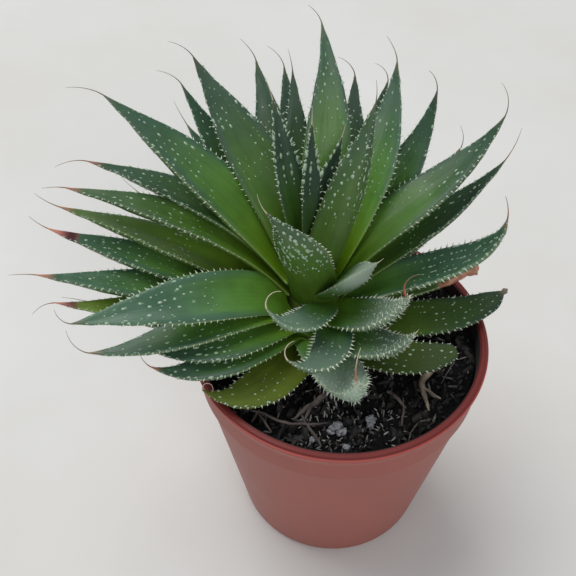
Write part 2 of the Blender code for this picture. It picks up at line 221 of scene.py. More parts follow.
def make_uneven_tone():
    tree, given, out = new_group(
        "uneven_tone", "ShaderNodeTree",
        {
            "Vector": "Vector", "Light": (0.8, 0.8, 0.8, 1), "Dark": (0.2, 0.2, 0.2, 1),
            "Scale": 100.0, "Contrast": 1.0,
        },
        {"Color": "Color", "Mask": "Float"},
    )
    cloud = add_node(
        tree, "ShaderNodeTexNoise", Vector=given["Vector"], Scale=given["Scale"], Detail=4.0, Roughness=0.6
    )
    about_nought = calculated(tree, "SUBTRACT", cloud.outputs["Fac"], 0.5)
    stretched = product(tree, about_nought, given["Contrast"])
    mask = calculated(tree, "ADD", stretched, 0.5, clamp=True)
    feed(tree, out, {"Color": mixed(tree, mask, given["Dark"], given["Light"]), "Mask": mask})
    return tree


uneven_tone = make_uneven_tone()
print("group:", uneven_tone.name)

# %% Material helpers
WHITE, BLACK = (1, 1, 1), (0, 0, 0)


def new_material(name):
    """A material with its tree, and its Principled BSDF."""
    material = bpy.data.materials.new(name)
    material.use_nodes = True
    return material, material.node_tree, material.node_tree.nodes["Principled BSDF"]


def add_tone(tree, light, dark, scale, contrast, vector=None):
    """One use of uneven_tone, on Object coordinates unless a vector is given."""
    if vector is None:
        vector = add_node(tree, "ShaderNodeTexCoord").outputs["Object"]
    return add_node(
        tree, "ShaderNodeGroup", node_tree=uneven_tone,
        Vector=vector, Light=light, Dark=dark, Scale=scale, Contrast=contrast,
    ).outputs


def add_bump(tree, height, shader, distance, strength):
    bump = add_node(tree, "ShaderNodeBump", Distance=distance, Strength=strength, Height=height)
    feed(tree, shader, {"Normal": bump.outputs["Normal"]})


def make_toned(name, light, dark, scale, contrast, roughness, bump=None, more=()):
    """A material of two tones. Its bump, if any, is a depth and a strength."""
    material, tree, shader = new_material(name)
    tone = add_tone(tree, light, dark, scale, contrast)
    feed(tree, shader, {"Base Color": tone["Color"], "Roughness": roughness, **dict(more)})
    if bump:
        add_bump(tree, tone["Mask"], shader, *bump)
    return material


# %% The floor
FLOOR_SIDE = 6.0
plaster = make_toned(
    "pale_plaster", light=(0.735, 0.742, 0.738), dark=(0.655, 0.64, 0.605),
    scale=6.0, contrast=2.0, roughness=0.8,
)
floor_mesh = bpy.data.meshes.new("floor")
half = FLOOR_SIDE / 2
corners = [(-half, -half, 0), (half, -half, 0), (half, half, 0), (-half, half, 0)]
floor_mesh.from_pydata(corners, [], [(0, 1, 2, 3)])
floor_mesh.materials.append(plaster)
add_object("floor", floor_mesh)
print("floor side in metres:", FLOOR_SIDE)

# %% [markdown]
# ## Finished pieces
# Each piece made below is a mesh in its place, with its object at the origin. `finish_piece` gives it
# its material, lets it ride on the one body that this object has, and hides the plain nodes that it
# stands for.

# %% Piece helper


def finish_piece(name, mesh, material, nodes=(), smooth_angle=50):
    mesh.materials.clear()
    mesh.materials.append(material)
    mesh.shade_smooth()
    mesh.set_sharp_from_angle(angle=math.radians(smooth_angle))
    piece = add_object(name, mesh)
    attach(piece, "root")
    if nodes:
        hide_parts(*nodes)
    return piece


def count_triangles(*pieces):
    return sum(len(face.vertices) - 2 for piece in pieces for face in piece.data.polygons)


# %% [markdown]
# ## Measuring a plain leaf
# The plain leaf holds all that is needed to grow a finer one: where it starts, how it bends, how wide
# it is. It could be traced by hand, but a measured one stays right if the plain model changes. First
# every corner's distance from the tip is found along the mesh's edges, and the middles of rings that lie
# equally far from the tip give a rough middle line, however much the leaf curls. Then planes across that
# line cut the mesh at every millimetre: the ends of each cut are the blade's two edges. Where a tooth
# was cut the width jumps, so a median filter drops such cuts, and a soft filter evens out the rest.

# %% Read a node's mesh
STEM_AXIS = np.array([-9, 8]) * MM


def read_node(node):
    """The corners of a node's mesh, each once, and the pairs of corners that its edges join."""
    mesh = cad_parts[node].data
    mesh.calc_loop_triangles()
    corners = np.empty(len(mesh.vertices) * 3)
    mesh.vertices.foreach_get("co", corners)
    triangles = np.empty(len(mesh.loop_triangles) * 3, int)
    mesh.loop_triangles.foreach_get("vertices", triangles)
    rounded = np.round(corners.reshape(-1, 3) / MM, 3)
    points, place = np.unique(rounded, axis=0, return_inverse=True)
    triangles = place.reshape(-1)[triangles.reshape(-1, 3)]
    ends = np.concatenate([triangles[:, [0, 1]], triangles[:, [1, 2]], triangles[:, [2, 0]]])
    return points * MM, np.unique(np.sort(ends, axis=1), axis=0)


def reach_from(points, pairs, start):
    """How far every corner is from one of them, going along the edges."""
    near = [[] for _ in points]
    for a, b in pairs:
        step = float(np.linalg.norm(points[a] - points[b]))
        near[a].append((b, step))
        near[b].append((a, step))
    reach = np.full(len(points), np.inf)
    reach[start] = 0
    queue = [(0.0, start)]
    while queue:
        so_far, at = heapq.heappop(queue)
        if so_far > reach[at]:
            continue
        for other, step in near[at]:
            if so_far + step < reach[other]:
                reach[other] = so_far + step
                heapq.heappush(queue, (so_far + step, other))
    return reach


# %% Filters for measured rows


def unit(vectors):
    return vectors / np.linalg.norm(vectors, axis=-1, keepdims=True)


def median_of(values, reach=3):
    padded = np.pad(values, reach, mode="edge")
    windows = np.lib.stride_tricks.sliding_window_view(padded, 2 * reach + 1)
    return np.median(windows, axis=-1)


def soften(values, width):
    """A Gaussian blur along the first axis that keeps both ends where they are."""
    reach = min(int(3 * width) + 1, len(values) - 1)
    weights = np.exp(-0.5 * (np.arange(-reach, reach + 1) / width) ** 2)
    weights /= weights.sum()
    flat = values.reshape(len(values), -1)
    padded = np.pad(flat, ((reach, reach), (0, 0)), mode="reflect", reflect_type="odd")
    windows = np.lib.stride_tricks.sliding_window_view(padded, 2 * reach + 1, axis=0)
    return (windows @ weights).reshape(values.shape)


def arc_of(line):
    steps = np.linalg.norm(np.diff(line, axis=0), axis=1)
    return np.concatenate([[0.0], np.cumsum(steps)])


def read_at(places, known, values):
    """Rows of values, read between their known places."""
    return np.stack([np.interp(places, known, column) for column in values.T], axis=-1)


def evened(line, step):
    arc = arc_of(line)
    return read_at(np.linspace(0, arc[-1], round(arc[-1] / step) + 1), arc, line)


def lengthened(values, before, after):
    """A row of values with the first and the last one repeated."""
    return np.concatenate([values[:1].repeat(before, axis=0), values, values[-1:].repeat(after, axis=0)])


# %% Cut a leaf across
CUT_STEP = 1.0 * MM
ROOT_MARGIN = 2.0 * MM
NEAR_SHARE, NEAR_MORE, NEAR_AT_FIRST = 1.4, 1.8 * MM, 8.5 * MM
FLAT_CUT = 1.5 * MM
DIRECTION_SOFTNESS = 1.5


def cut_where(points, pairs, height):
    """The points on the edges at which a height, known at the corners, passes through nought."""
    low, high = height[pairs[:, 0]], height[pairs[:, 1]]
    crossing = (low < 0) != (high < 0)
    share = (low[crossing] / (low[crossing] - high[crossing]))[:, None]
    start, end = points[pairs[crossing, 0]], points[pairs[crossing, 1]]
    return start + (end - start) * share


def main_axis(cut):
    return np.linalg.svd(cut - cut.mean(axis=0))[2][0]


def ends_of(cut, across):
    x = cut @ across
    return cut[x.argmin()], cut[x.argmax()]


def rough_line(points, pairs):
    from_stem = np.linalg.norm(points[:, :2] - STEM_AXIS, axis=1)
    root = int(np.argmin(from_stem + 0.5 * points[:, 2]))
    tip = int(np.argmax(reach_from(points, pairs, root)))
    reach = reach_from(points, pairs, tip)
    line = []
    for level in np.arange(reach.max() - ROOT_MARGIN, 0.5 * CUT_STEP, -CUT_STEP):
        cut = cut_where(points, pairs, reach - level)
        left, right = ends_of(cut, main_axis(cut))
        line.append((left + right) / 2)
    return np.array([*line, points[tip]])


def cut_along(points, pairs, line):
    """At every place of a line: the middle between the edges, the way across, and half the width."""
    alongs = unit(soften(np.gradient(line, axis=0), DIRECTION_SOFTNESS))
    middles, sides, halves = [], [], []
    near, across, half, lean = NEAR_AT_FIRST, None, 0.0, 0.0
    for at, along in zip(line, alongs):
        cut = cut_where(points, pairs, (points - at) @ along)
        cut = cut[np.linalg.norm(cut - at, axis=1) < near]
        middle = at
        if len(cut) >= 3:
            if across is None:
                across = main_axis(cut)
            left, right = ends_of(cut, across)
            half = np.linalg.norm(right - left) / 2
            if half > FLAT_CUT / 2:
                across = unit(across * 0.5 + unit(right - left) * 0.5)
                middle = (left + right) / 2
                lean += ((cut - middle) @ np.cross(along, across)).mean()
                near = half * NEAR_SHARE + NEAR_MORE
            else:
                middle = cut.mean(axis=0)
        across = unit(across - along * (across @ along))
        middles.append(middle)
        sides.append(across)
        halves.append(half)
    turn = -1 if lean > 0 else 1
    return np.array(middles), np.array(sides) * turn, np.array(halves)


# %% Measure every leaf
ROUGH_SOFTNESS, LINE_SOFTNESS, SIDE_SOFTNESS, WIDTH_SOFTNESS = 2.5, 2.0, 2.5, 1.2
AWN_BELOW = 0.55 * MM
ROOT_REACHES_IN, ROOT_REACH_IN = {36: 14}, 4
HAIR_RADIUS = 0.17 * MM
THICK_HAIR = {29: 1.5, 16: 1.5, 22: 2.4, 9: 2.2, 18: 1.4, 3: 1.3, 1: 5.5, 6: 14.0}
HAIR_LONGER = {22: 8, 9: 7}
HAIR_SHORTER = {25: 4, 24: 4, 28: 4, 33: 5, 21: 2, 15: 3}
FOLD = {
    # how sharply a blade is folded along its middle, from 0 to 1
    41: 0.9, 38: 0.6, 31: 0.7, 43: 0.5, 40: 0.8, 44: 1.0, 39: 1.0, 30: 0.8, 32: 0.7,
    19: 1.0, 23: 0.9, 18: 0.9, 45: 1.0, 46: 1.0, 47: 1.0, 36: 0.3, 25: 0.7, 33: 0.8,
    28: 0.9, 24: 0.6, 21: 0.8, 34: 0.9, 29: 0.1, 16: 0.1, 9: 0.1, 37: 0.7, 42: 0.9,
}
FOLD_ELSE = 0.5
FOOT_FILLS, FOOT_FILL = {36: 1.0, 35: 0.7, 29: 0.6, 16: 0.6, 22: 0.7, 13: 0.7}, 0.82


def measure_leaf(number):
    """A leaf's middle line at every millimetre, the way across it, and half its width."""
    points, pairs = read_node(leaf_nodes[number])
    line = evened(soften(rough_line(points, pairs), ROUGH_SOFTNESS), CUT_STEP)
    for _ in range(2):
        middles, _, _ = cut_along(points, pairs, line)
        line = evened(soften(middles, LINE_SOFTNESS), CUT_STEP)
    _, sides, halves = cut_along(points, pairs, line)
    inside, more = ROOT_REACHES_IN.get(number, ROOT_REACH_IN), HAIR_LONGER.get(number, 0)
    back = line[0] - unit(line[1] - line[0]) * CUT_STEP * np.arange(inside, 0, -1)[:, None]
    front = line[-1] + unit(line[-1] - line[-2]) * CUT_STEP * np.arange(1, more + 1)[:, None]
    line = np.concatenate([back, line, front])
    kept = len(line) - HAIR_SHORTER.get(number, 0)
    line = line[:kept]
    sides = lengthened(unit(soften(sides, SIDE_SOFTNESS)), inside, more)[:kept]
    halves = lengthened(soften(median_of(halves), WIDTH_SOFTNESS), inside, more)[:kept]
    arc = arc_of(line)
    widest = int(halves.argmax())
    thin = np.flatnonzero(halves[widest:] < AWN_BELOW)
    tip = arc[widest + thin[0]] if len(thin) else arc[-1]
    start = inside * CUT_STEP - ROOT_MARGIN
    return {
        "line": line, "side": sides, "half": halves, "arc": arc,
        "start": start, "length": tip - start, "end": arc[-1], "full": halves.max(),
        "foot": FOOT_FILLS.get(number, FOOT_FILL), "fold": FOLD.get(number, FOLD_ELSE),
        "hair": HAIR_RADIUS * THICK_HAIR.get(number, 1.0),
    }


# %% The hairs curl
HAIR_TURNS = {
    # how far each hair turns in all, in degrees, as the viewer sees it: anticlockwise is more than nought
    38: 45, 41: 60, 31: 60, 37: 65, 27: 60, 42: 15, 43: 50, 40: 85, 44: 25, 39: 70, 26: 90,
    30: 80, 32: 65, 19: 60, 23: 25, 18: 25, 34: 35, 33: 25, 28: -20, 24: -20, 21: 15, 15: 50,
    25: -65, 17: -60, 36: -60, 12: 30, 7: -40, 45: 15, 29: -110, 16: -100, 3: -230, 22: -150, 9: -30,
}
HAIR_STARTS = {22: 90}
DOWN = math.radians(CAMERA_DOWN)
TOWARDS_VIEWER = np.array([0, -math.cos(DOWN), math.sin(DOWN)])


def turned_about(vectors, axis, angles):
    """Vectors turned about one axis, each by its own angle."""
    c, s = np.cos(angles)[:, None], np.sin(angles)[:, None]
    return vectors * c + np.cross(axis, vectors) * s + axis * (vectors @ axis)[:, None] * (1 - c)


def curl_hair(leaf, start, degrees):
    """Bends the line from the blade's tip onwards, first by a kink of its own and then evenly."""
    first = int(np.searchsorted(leaf["arc"], leaf["start"] + leaf["length"]))
    steps = np.diff(leaf["line"][first - 1:], axis=0)
    angles = np.radians(start + degrees * np.linspace(0, 1, len(steps)) ** 0.8)
    steps = turned_about(steps, TOWARDS_VIEWER, angles)
    leaf["line"][first:] = leaf["line"][first - 1] + np.cumsum(steps, axis=0)
    leaf["side"][first:] = turned_about(leaf["side"][first:], TOWARDS_VIEWER, angles)


measured = {number: measure_leaf(number) for number in leaf_nodes}
for number, degrees in HAIR_TURNS.items():
    curl_hair(measured[number], HAIR_STARTS.get(number, 0), degrees)
print("longest blade in mm:", round(max(leaf["length"] for leaf in measured.values()) / MM, 1))

# %% [markdown]
# ## How the leaves differ
# Some leaves have their own look. The outer ones of a lace aloe are the oldest: they turn yellow-green,
# their tips dry out red, and two of them have withered ends. The short ones that face the window are
# crowded with dots or bristles. One table is painted shade and painted light: it darkens the colour of
# leaves that lie in shade and brightens some lit ones. These differences could be painted on, but tables
# of plain numbers are easier to change. They are written to the meshes as attributes, so all leaves
# share one material.

# %% Tables of differences
TONE = {3: 0.8, 15: 0.6, 28: 0.3, 2: 0.2, 6: 0.3, 33: 0.15}
PAINTED_SHADE_AND_LIGHT = {
    # painted shade and painted light: below 1 a leaf's colour is darkened as if in shade, above 1
    # brightened as if lit
    1: 0.41, 3: 0.45, 41: 0.68, 6: 0.8, 18: 1.15, 30: 0.8, 36: 0.77, 9: 1.35, 29: 1.2, 35: 0.9,
    32: 0.78, 45: 0.66, 46: 0.60, 47: 0.52, 23: 0.65, 19: 0.7, 12: 0.85, 7: 0.8, 37: 0.85, 33: 0.82,
    34: 0.78, 39: 1.15, 43: 1.03, 25: 1.14, 2: 0.26, 38: 0.90, 44: 0.7, 26: 0.6, 42: 0.7, 27: 0.7,
    40: 0.64, 31: 0.8,
}
BLOOM = {
    29: 0.45, 16: 0.45, 9: 0.3, 35: 0.3, 2: -0.9, 3: -0.7, 15: -0.4, 25: 0.4, 36: -0.2, 1: -0.45,
    43: -0.1, 45: 0.3, 46: 0.5, 47: 0.6, 38: 0.04, 18: 0.5,
}
SILVER = {35: 1.0, 9: 0.85, 13: 0.35, 22: 0.5, 29: 0.3, 16: 0.3}
BLUSH = {
    # how red a tip is. Past 1 it turns purple
    7: 0.9, 10: 1.0, 12: 0.8, 15: 1.5, 18: 0.3, 19: 0.4, 21: 0.9, 24: 1.9, 28: 0.7, 33: 0.8, 34: 0.8,
    17: 0.3, 2: 0.0, 6: 1.0, 1: 0.0,
}
BLUSH_FROM, BLUSH_FROM_ELSE = {24: 0.87, 15: 0.90}, 0.92
EMBER = {22: 1.0, 9: 0.8, 18: 0.9, 23: 0.6}
PALE_HAIRED = (36, 45, 46, 47, 29, 16, 3, 35, 9, 13)
HAIRY = {9: 1.0, 13: 0.8, 22: 1.0}
LONG_TEETH = {18: 1.5, 29: 1.2, 16: 1.5, 9: 1.4, 13: 1.4, 22: 1.4, 2: 1.2, 35: 0.7}
CROWDED = {
    # how many rows of dots there are, against the others
    36: 2.5, 18: 1.9, 45: 1.6, 46: 1.6, 47: 1.6, 44: 1.5, 39: 1.3, 29: 1.3, 16: 1.3, 9: 2.0, 13: 1.6,
    22: 1.5, 35: 0.5,
}
BOLD_DOTS = {
    25: 1.25, 12: 1.25, 10: 1.2, 7: 1.25, 17: 1.2, 36: 1.45, 45: 1.4, 46: 1.4, 47: 1.4, 18: 1.15, 44: 1.2,
}
DRY_FROM, NEVER_DRY = {1: 0.965, 6: 0.72}, 9.0
print("leaves with red tips:", len(BLUSH), "hairy:", len(HAIRY), "withered:", len(DRY_FROM))

# %% [markdown]
# ## Growing a blade
# The leaf of a lace aloe is thick and juicy: hollow above, sharply folded on some leaves, round below
# with a blunt keel, and it ends in a papery hair. A blade is a tube of rings along the measured middle
# line, as if a section were swept along it. It is broader at its foot than the plain leaf, because the
# feet clasp one another round the stem, and its hair is much thinner than the plain one. Sweeping rings
# keeps an even grid, on which teeth and bumps can be placed by two numbers: how far along, and how far
# round. Soft noise then gives the skin its furrows and shallow dents.

# %% The section of a blade
FOOT_FILL_UNTIL = 0.34
TOOTHLESS = 0.30 * MM
BLUNTEST = 2.2
HAIR_GROWS_UNDER = 1.1 * MM
HAIR_TAPER = ((0.9, 0.6), (1.0, 1.0), (1.3, 0.6), (2.0, 0.22))
DISH = ((0.0, 0.34), (0.25, 0.24), (0.6, 0.20), (1.0, 0.10))
DISH_FLAT, DISH_FOLDED = 0.55, 1.15
BELLY = ((0.0, 0.26), (0.2, 0.40), (0.45, 0.50), (0.8, 0.40), (1.0, 0.34))
BELLY_MOST = 0.8
KEEL, KEEL_WIDTH = 0.16, 0.28
CROWNED = 0.16
HALF_STEP = 0.5 * MM


def place_on(leaf, share):
    """The arc length that belongs to a share of the blade's length. Past 1 lies the hair, up to 2."""
    hair = leaf["end"] - leaf["start"] - leaf["length"]
    blade = np.minimum(share, 1.0) * leaf["length"]
    return leaf["start"] + blade + np.maximum(share - 1.0, 0.0) * hair


def half_width(leaf, share):
    """Half the width of a blade, with its foot filled out and its tip rounded, or of its hair."""
    half = np.interp(place_on(leaf, share), leaf["arc"], leaf["half"]) - TOOTHLESS
    rise = np.clip(share / FOOT_FILL_UNTIL, 0, 1)
    filled = leaf["full"] * (leaf["foot"] + (1 - leaf["foot"]) * np.sin(rise * math.pi / 2)) - TOOTHLESS
    half = np.where(share < FOOT_FILL_UNTIL, np.maximum(half, filled), half)
    left = np.maximum(1 - share, 0) * leaf["length"]
    half = np.minimum(half, np.sqrt(left * BLUNTEST * leaf["full"]))
    return np.maximum(np.where(share > 1, 0, half), leaf["hair"] * np.interp(share, *zip(*HAIR_TAPER)))


def way_at(leaf, arc):
    """A step of a millimetre along the middle line, towards the tip."""
    before, after = (read_at(arc + step, leaf["arc"], leaf["line"]) for step in (-HALF_STEP, HALF_STEP))
    return after - before


def blade_at(leaf, share, angle):
    """Places on a blade. The angle goes round it: 0 and pi are its edges, pi / 2 is the top's middle."""
    share, angle = np.broadcast_arrays(share, angle)
    arc = place_on(leaf, share)
    side = unit(read_at(arc, leaf["arc"], leaf["side"]))
    up = unit(np.cross(way_at(leaf, arc), side))
    half = half_width(leaf, share)
    hair = np.where(share > 0.5, np.clip(1 - (half - leaf["hair"]) / HAIR_GROWS_UNDER, 0, 1), 0)
    out, round_it = np.cos(angle), np.sin(angle)
    dish = np.interp(share, *zip(*DISH)) * (DISH_FLAT + DISH_FOLDED * leaf["fold"]) * (1 - hair)
    belly = np.minimum(np.interp(share, *zip(*BELLY)) * leaf["full"], half * BELLY_MOST)
    belly = belly * (1 - hair) + half * hair
    top = half * (CROWNED * (1 - hair) + hair)
    keel = KEEL * share * (1 - hair) * np.exp(-((out / KEEL_WIDTH) ** 2))
    height = -dish * half * (1 - np.abs(out) ** (2.0 - 0.9 * leaf["fold"]))
    height = height + np.where(round_it > 0, top, belly * (1 + keel)) * round_it
    return read_at(arc, leaf["arc"], leaf["line"]) + side * (half * out)[..., None] + up * height[..., None]


def facing_at(leaf, share, angle):
    """The outward direction of the blade's surface."""
    share, angle = np.broadcast_arrays(share, angle)
    round_it = blade_at(leaf, share, angle + 0.05) - blade_at(leaf, share, angle - 0.05)
    ahead = blade_at(leaf, share + 0.01, angle) - blade_at(leaf, share - 0.01, angle)
    return unit(np.cross(round_it, ahead))


# %% Tubes of rings


def set_attribute(mesh, name, kind, values):
    attribute = mesh.attributes.new(name, kind, "POINT")
    key = "vector" if kind == "FLOAT_VECTOR" else "value"
    attribute.data.foreach_set(key, np.ascontiguousarray(values, np.float32).ravel())


def tube_mesh(name, rings):
    """A closed tube through rings of points, each of as many points as the others."""
    count, sides, _ = rings.shape
    faces = [tuple(range(sides))[::-1]]
    for low in range(0, (count - 1) * sides, sides):
        for i in range(sides):
            j = (i + 1) % sides
            faces.append((low + i, low + j, low + sides + j, low + sides + i))
    faces.append(tuple(range((count - 1) * sides, count * sides)))
    mesh = bpy.data.meshes.new(name)
    mesh.from_pydata(rings.reshape(-1, 3).tolist(), [], faces)
    shape = bmesh.new()
    shape.from_mesh(mesh)
    is_inside_out = shape.calc_volume(signed=True) < 0
    shape.free()
    if is_inside_out:
        mesh.flip_normals()
    return mesh


# %% The rings of a blade
BLADE_RINGS, HAIR_RINGS, BLADE_SIDES = 46, 9, 22
CLOSER_AT_TIP = 1.25
SKIN_RIPE_UNTIL, RIPE_FADE = 0.97, 8
FURROWS, FURROWS_ALONG, FURROWS_ACROSS = 0.07 * MM, 1.2, 5
DENTS, DENTS_TO_THE_METRE, DENTS_ACROSS = 0.22 * MM, 110, 1.3
CRUMPLING, CRUMPLING_GRAIN = 0.5 * MM, 600
FURROWS_APART, DENTS_APART, TISSUE_APART = 3.7, 5.1, 0.05
BLUSH_ELSE, EMBER_ELSE, EMBER_SHARE, BLOOM_SHARE = 0.12, 0.1, 0.5, 0.5


def roughen(number, leaf, rings, share, angle):
    """Furrows along a blade and dents in it, as far as its tip, and the crumpling of a withered end."""
    facing = facing_at(leaf, np.minimum(share, 0.98), angle)
    ripe = np.clip((SKIN_RIPE_UNTIL - share) * RIPE_FADE, 0, 1)
    withered = share > DRY_FROM.get(number, NEVER_DRY)
    for at in np.ndindex(share.shape):
        out, round_it = math.cos(angle[at]), math.sin(angle[at])
        furrow_across = out * FURROWS_ACROSS + round_it
        furrow = Vector((number * FURROWS_APART, share[at] * FURROWS_ALONG, furrow_across))
        dent_along = share[at] * leaf["length"] * DENTS_TO_THE_METRE
        dent = Vector((number * DENTS_APART, dent_along, out * DENTS_ACROSS))
        depth = ripe[at] * (FURROWS * noise.noise(furrow) + DENTS * noise.noise(dent))
        if withered[at]:
            depth += noise.noise(Vector(rings[at]) * CRUMPLING_GRAIN) * CRUMPLING
        rings[at] += facing[at] * depth


def blade_mesh(number):
    leaf = measured[number]
    first = -leaf["start"] / leaf["length"]
    shares = 1 - (1 - first) * (1 - np.linspace(0, 1, BLADE_RINGS)) ** CLOSER_AT_TIP
    shares = np.concatenate([shares, np.linspace(1, 2, HAIR_RINGS + 1)[1:]])
    angles = np.linspace(0, 2 * math.pi, BLADE_SIDES, endpoint=False)
    share, angle = np.meshgrid(shares, angles, indexing="ij")
    rings = blade_at(leaf, share, angle)
    roughen(number, leaf, rings, share, angle)
    mesh = tube_mesh(f"{leaf_nodes[number]}_blade", rings)
    across = np.cos(angle)
    tissue = (place_on(leaf, share), across * leaf["full"], np.full(share.shape, number * TISSUE_APART))
    set_attribute(mesh, "tissue", "FLOAT_VECTOR", np.stack(tissue, axis=-1))
    values = {
        "along": share,
        "across": across,
        "under": np.sin(angle) < 0,
        "tone": TONE.get(number, 0.0),
        "blush": BLUSH.get(number, BLUSH_ELSE),
        "ripeness": share - BLUSH_FROM.get(number, BLUSH_FROM_ELSE),
        "ember": EMBER.get(number, BLUSH.get(number, EMBER_ELSE) * EMBER_SHARE),
        "pale": number in PALE_HAIRED,
        # painted shade and painted light for the whole leaf
        "shade": PAINTED_SHADE_AND_LIGHT.get(number, 1.0),
        "bloom": share + BLOOM.get(number, 0.0) * BLOOM_SHARE,
        "silver": SILVER.get(number, 0.0),
        "dry": share - DRY_FROM.get(number, NEVER_DRY),
    }
    for name, value in values.items():
        set_attribute(mesh, name, "FLOAT", np.broadcast_to(value, share.shape))
    return mesh


# %% [markdown]
# ## The flesh of the leaves
# The colour runs along the blade: olive where it clasps the stem, mid green, then a blue bloom on the
# outer half. Fine streaks run lengthwise, pale flecks lie under the skin, a paler line follows each edge
# near the foot, some tips blush red or purple, and the hair is papery. Over all of it lies painted shade
# on the leaves that hang in the shade and painted light on some lit ones. All of it is mixed from the
# blade's own attributes, so it bends with the leaf. The skin is waxy but not wet, and duller on the
# leaves that hang in the shade. The streaks are also its shallow bump.

# %% The colours of a leaf
LEAF_OLIVE = (0.14, 0.27, 0.008)
LEAF_MIDDLE = (0.094, 0.222, 0.036)
LEAF_BLOOM = (0.058, 0.130, 0.080)
LEAF_UNDER = (0.105, 0.200, 0.035)
LEAF_YELLOW = (0.25, 0.33, 0.012)
LEAF_MARGIN = (0.30, 0.38, 0.16)
LEAF_SILVER = (0.33, 0.42, 0.34)
FLECKS = (0.26, 0.40, 0.28)
TIP_BLUSH = (0.56, 0.22, 0.17)
TIP_PURPLE = (0.075, 0.018, 0.025)
HAIR_RED = (0.36, 0.10, 0.045)
HAIR_BROWN = (0.15, 0.115, 0.085)
PAPER = (0.62, 0.54, 0.40)
DRY_LIGHT = (0.66, 0.34, 0.23)
DRY_DARK = (0.32, 0.12, 0.05)
DRY_GREY = (0.20, 0.155, 0.125)
PATCH_LIGHT, PATCH_DARK = (1.22, 1.20, 1.15), (0.70, 0.75, 0.72)
STREAK_LIGHT, STREAK_DARK = (1.16, 1.15, 1.13), (0.81, 0.84, 0.84)
# along, across, and from leaf to leaf
STREAK_GRAIN, FLECK_GRAIN = (45, 900, 1), (430, 520, 1)
YELLOW_SHARE = 0.85


def skin_color(tree, at):
    """Olive, green and bloom along the blade, a greener underside, and the yellow of old leaves."""
    color = mixed(tree, map_range(tree, at["bloom"], 0.05, 0.46), LEAF_OLIVE, LEAF_MIDDLE)
    reach = calculated(tree, "ADD", at["bloom"], map_range(tree, at["across"], 0.55, 0.95, 0, 0.22))
    color = mixed(tree, map_range(tree, reach, 0.42, 0.88), color, LEAF_BLOOM)
    under = product(tree, at["under"], map_range(tree, at["along"], 0.2, 0.9, 0.7, 0.25))
    color = mixed(tree, under, color, LEAF_UNDER)
    return mixed(tree, product(tree, at["tone"], YELLOW_SHARE), color, LEAF_YELLOW)


def fleck_mask(tree, at):
    """Pale round flecks under the skin, of uneven size, on the outer part of the blade."""
    place = vector_of(tree, "MULTIPLY", at["tissue"], FLECK_GRAIN)
    cells = add_node(tree, "ShaderNodeTexVoronoi", Vector=place, Scale=1.0, Randomness=0.75).outputs
    chance = add_node(tree, "ShaderNodeSeparateColor", cells["Color"]).outputs["Red"]
    size = calculated(tree, "MULTIPLY_ADD", chance, 0.30, -0.04)
    inside = calculated(tree, "SUBTRACT", size, cells["Distance"])
    spots = map_range(tree, inside, -0.02, 0.10, 0, 0.75)
    return product(tree, spots, map_range(tree, at["along"], 0.34, 0.6))


def patterned(tree, at, color, patches, streaks):
    """Uneven patches, streaks along the blade, a silver film, flecks, and a pale line at each edge."""
    for tone in (patches, streaks):
        color = mixed(tree, 1.0, color, tone["Color"], "MULTIPLY")
    silver = product(tree, map_range(tree, at["along"], 0.35, 0.75), at["silver"])
    color = mixed(tree, silver, color, LEAF_SILVER)
    color = mixed(tree, fleck_mask(tree, at), color, FLECKS)
    at_edge = map_range(tree, at["across"], 0.965, 0.997, 0, 0.6)
    edge = product(tree, at_edge, map_range(tree, at["along"], 0.5, 0.95, 1, 0.3))
    return mixed(tree, edge, color, LEAF_MARGIN)


def ripened(tree, at, color):
    """Tips that blush, the strongest with a purple band, and painted shade and painted light on each leaf.
    """
    pink = product(tree, map_range(tree, at["ripeness"], 0, 0.07), at["blush"])
    color = mixed(tree, calculated(tree, "MINIMUM", pink, 1.0), color, TIP_BLUSH)
    strong = map_range(tree, at["blush"], 1.0, 1.8)
    begins = map_range(tree, at["ripeness"], 0, 0.03)
    ends = map_range(tree, at["ripeness"], 0.10, 0.04)
    color = mixed(tree, product(tree, strong, ends, begins), color, TIP_PURPLE)
    # painted shade and painted light: the whole leaf's colour times its table value
    return mixed(tree, 1.0, color, joined(tree, at["shade"], at["shade"], at["shade"]), "MULTIPLY")


def ended(tree, at, color):
    """The papery hair past the tip, and withered ends."""
    ember = product(tree, at["ember"], map_range(tree, at["along"], 1.25, 1.7, 1, 0))
    hair = mixed(tree, ember, mixed(tree, at["pale"], HAIR_BROWN, PAPER), HAIR_RED)
    color = mixed(tree, map_range(tree, at["along"], 0.99, 1.06), color, hair)
    withered = mixed(tree, at["blush"], DRY_GREY, add_tone(tree, DRY_LIGHT, DRY_DARK, 420, 2.0)["Color"])
    return mixed(tree, map_range(tree, at["dry"], -0.02, 0.03), color, withered)


# %% The flesh material, and the blades
BLADE_VALUES = (
    "along", "across", "under", "tone", "blush", "ripeness",
    "ember", "pale", "shade", "bloom", "silver", "dry",
)


